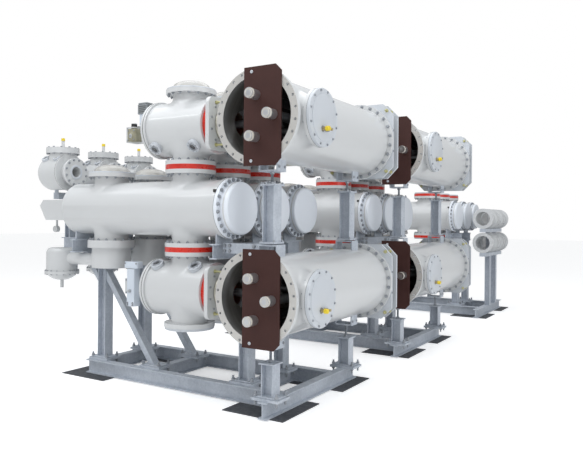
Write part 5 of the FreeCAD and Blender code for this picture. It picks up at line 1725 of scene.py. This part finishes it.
@dataclass(frozen=True)
class Studio:
    """Floor, lights and the camera at the photograph's place.

    The heading is in degrees from +Y towards -X, and the roll in degrees. Strengths are the
    floor's glow in the camera's view and the light of the surroundings.
    """

    eye: Point = (3.233, -4.675, 1.863)
    heading: float = 31.33
    focal_px: float = 626.4
    frame_px: Tuple[int, int] = (583, 475)
    centre_px: Tuple[float, float] = (291.5, 219.93)
    roll: float = 0.5
    sensor: float = 36.0
    floor_half: float = 60.0
    floor_z: float = -0.001
    floor_glow: float = 0.40
    sky: float = 0.58
    daylight: Colour = (0.95, 0.975, 1.0)
    clip_end: float = 200.0

    def build(self, shop: Workshop) -> None:
        """Make the stage."""
        self.floor()
        self.world()
        self.lamps(shop.datum)
        self.camera(shop.datum)

    def floor(self) -> None:
        """Make the plain pale floor."""
        mesh = bpy.data.meshes.new("floor")
        h, z = self.floor_half, self.floor_z
        mesh.from_pydata([(-h, -h, z), (h, -h, z), (h, h, z), (-h, h, z)], [], [(0, 1, 2, 3)])
        floor = place("floor", mesh)
        g = Graph("pale floor")
        g.set(Base_Color=(0.96, 0.96, 0.96), Roughness=0.7, Specular_IOR_Level=0.1)
        seen = g.tree.nodes.new("ShaderNodeLightPath").outputs["Is Camera Ray"]
        g.set(Emission_Color=(1.0, 1.0, 1.0), Emission_Strength=g.math("MULTIPLY", seen, self.floor_glow))
        mesh.materials.append(g.material)

    def world(self) -> None:
        """Make the soft white surroundings."""
        world = bpy.data.worlds.new("studio")
        world.use_nodes = True
        tree = world.node_tree
        soft = tree.nodes["Background"]
        soft.inputs["Color"].default_value = (0.97, 0.985, 1.0, 1.0)
        soft.inputs["Strength"].default_value = self.sky
        seen = tree.nodes.new("ShaderNodeBackground")
        seen.inputs["Color"].default_value = (1.0, 1.0, 1.0, 1.0)
        seen.inputs["Strength"].default_value = 1.0
        ray = tree.nodes.new("ShaderNodeLightPath")
        mix = tree.nodes.new("ShaderNodeMixShader")
        tree.links.new(ray.outputs["Is Camera Ray"], mix.inputs[0])
        tree.links.new(soft.outputs[0], mix.inputs[1])
        tree.links.new(seen.outputs[0], mix.inputs[2])
        tree.links.new(mix.outputs[0], tree.nodes["World Output"].inputs[0])
        bpy.context.scene.world = world

    def lamps(self, datum: Datum) -> None:
        """Make the soft area lights."""
        shift = Vector(datum.shift)
        for name, at, toward, size, power in (
            ("roof light", (-1.5, 1.0, 8.0), (-1.2, 1.5, 1.5), (9.0, 12.0), 520.0),
            ("strip light", (-1.0, -3.2, 6.4), (-1.0, 0.6, 2.4), (10.0, 0.5), 85.0),
            ("front light", (2.0, -9.0, 5.5), (-0.8, 1.0, 1.8), (6.0, 4.0), 60.0),
            ("right light", (9.0, 0.5, 4.0), (-0.5, 1.5, 1.8), (7.0, 5.0), 180.0),
        ):
            data = bpy.data.lights.new(name, "AREA")
            data.shape = "RECTANGLE"
            data.size, data.size_y = size
            data.energy = power
            data.color = self.daylight
            lamp = place(name, data)
            lamp.location = Vector(at) + shift
            lamp.rotation_mode = "QUATERNION"
            lamp.rotation_quaternion = (Vector(toward) - Vector(at)).to_track_quat("-Z", "Y")

    def camera(self, datum: Datum) -> None:
        """Make the camera: level view along the heading, with the photograph's roll and framing."""
        a = math.radians(self.heading)
        look = Vector((-math.sin(a), math.cos(a), 0.0))
        data = bpy.data.cameras.new("camera")
        data.sensor_fit = "HORIZONTAL"
        data.sensor_width = self.sensor
        data.lens = self.focal_px / self.frame_px[0] * self.sensor
        data.shift_x = -(self.centre_px[0] - self.frame_px[0] / 2) / self.frame_px[0]
        data.shift_y = (self.centre_px[1] - self.frame_px[1] / 2) / self.frame_px[0]
        data.clip_end = self.clip_end
        cam = place("camera", data)
        cam.rotation_mode = "QUATERNION"
        turn = Matrix.Rotation(math.radians(-self.roll), 4, look)
        cam.rotation_quaternion = (turn @ look.to_track_quat("-Z", "Y").to_matrix().to_4x4()).to_quaternion()
        cam.location = Vector(self.eye) + Vector(datum.shift)
        bpy.context.scene.camera = cam
        bpy.context.scene.view_settings.view_transform = "Standard"


# Row


def dress_frame(shop: Workshop) -> None:
    """Give every node of the frame that stays its finish."""
    by_slot = {
        Slot.PAINT: Finish.ENAMEL, Slot.ZINC: Finish.ZINC, Slot.YELLOW_ZINC: Finish.YELLOW,
        Slot.BELLOWS: Finish.BELLOWS, Slot.RED: Finish.RED, Slot.RESIN: Finish.RESIN, Slot.BAR: Finish.SILVER,
        Slot.SHAFT: Finish.SHAFT, Slot.BOARD: Finish.BOARD, Slot.FILM: Finish.FILM, Slot.MAT: Finish.RUBBER,
    }
    for part in frame["record"]["subparts"]:
        shop.dress(by_slot[Slot(part["material_slot"])], part["node"])
    shop.dress(Finish.BAR, "bus_conductors")
    shop.dress(Finish.COVER, "access_port_covers", "compensator_plates")
    # the breaker end covers wear the enamel copy with painted light
    shop.dress(Finish.LIT_DISC, "breaker_end_covers")


def main() -> None:
    """Build the row's pieces in order."""
    logging.basicConfig(level=logging.INFO, format="%(name)s %(message)s")
    datum = Datum.measured()
    shop = Workshop(datum)
    dress_frame(shop)
    tanks = [BusbarTank(n, level, y, z) for n, y in enumerate(datum.full_bays, 1)
             for level, z in (("upper", datum.upper), ("lower", datum.lower))]
    for tank in tanks:
        tank.build(shop)
        Compensator(tank).build(shop)
    ConductorCaps().build(shop, tanks)
    GasValves().build(shop, tanks)
    for n, y in enumerate(datum.bays, 1):
        full = n <= len(datum.full_bays)
        BreakerRow(n, y, full).build(shop)
        Steelwork(n, y, full).build(shop)
    for n, y in enumerate(datum.full_bays, 1):
        for level, z in (("upper", datum.upper), ("lower", datum.lower)):
            DisconnectorRow(n, level, y, z).build(shop)
        LineSide(n, y).build(shop)
    Viewports().build(shop)
    DriveTrain().build(shop)
    DustCovers().build(shop)
    JackScrews().build(shop)
    Studio().build(shop)


if __name__ == "__main__":
    main()
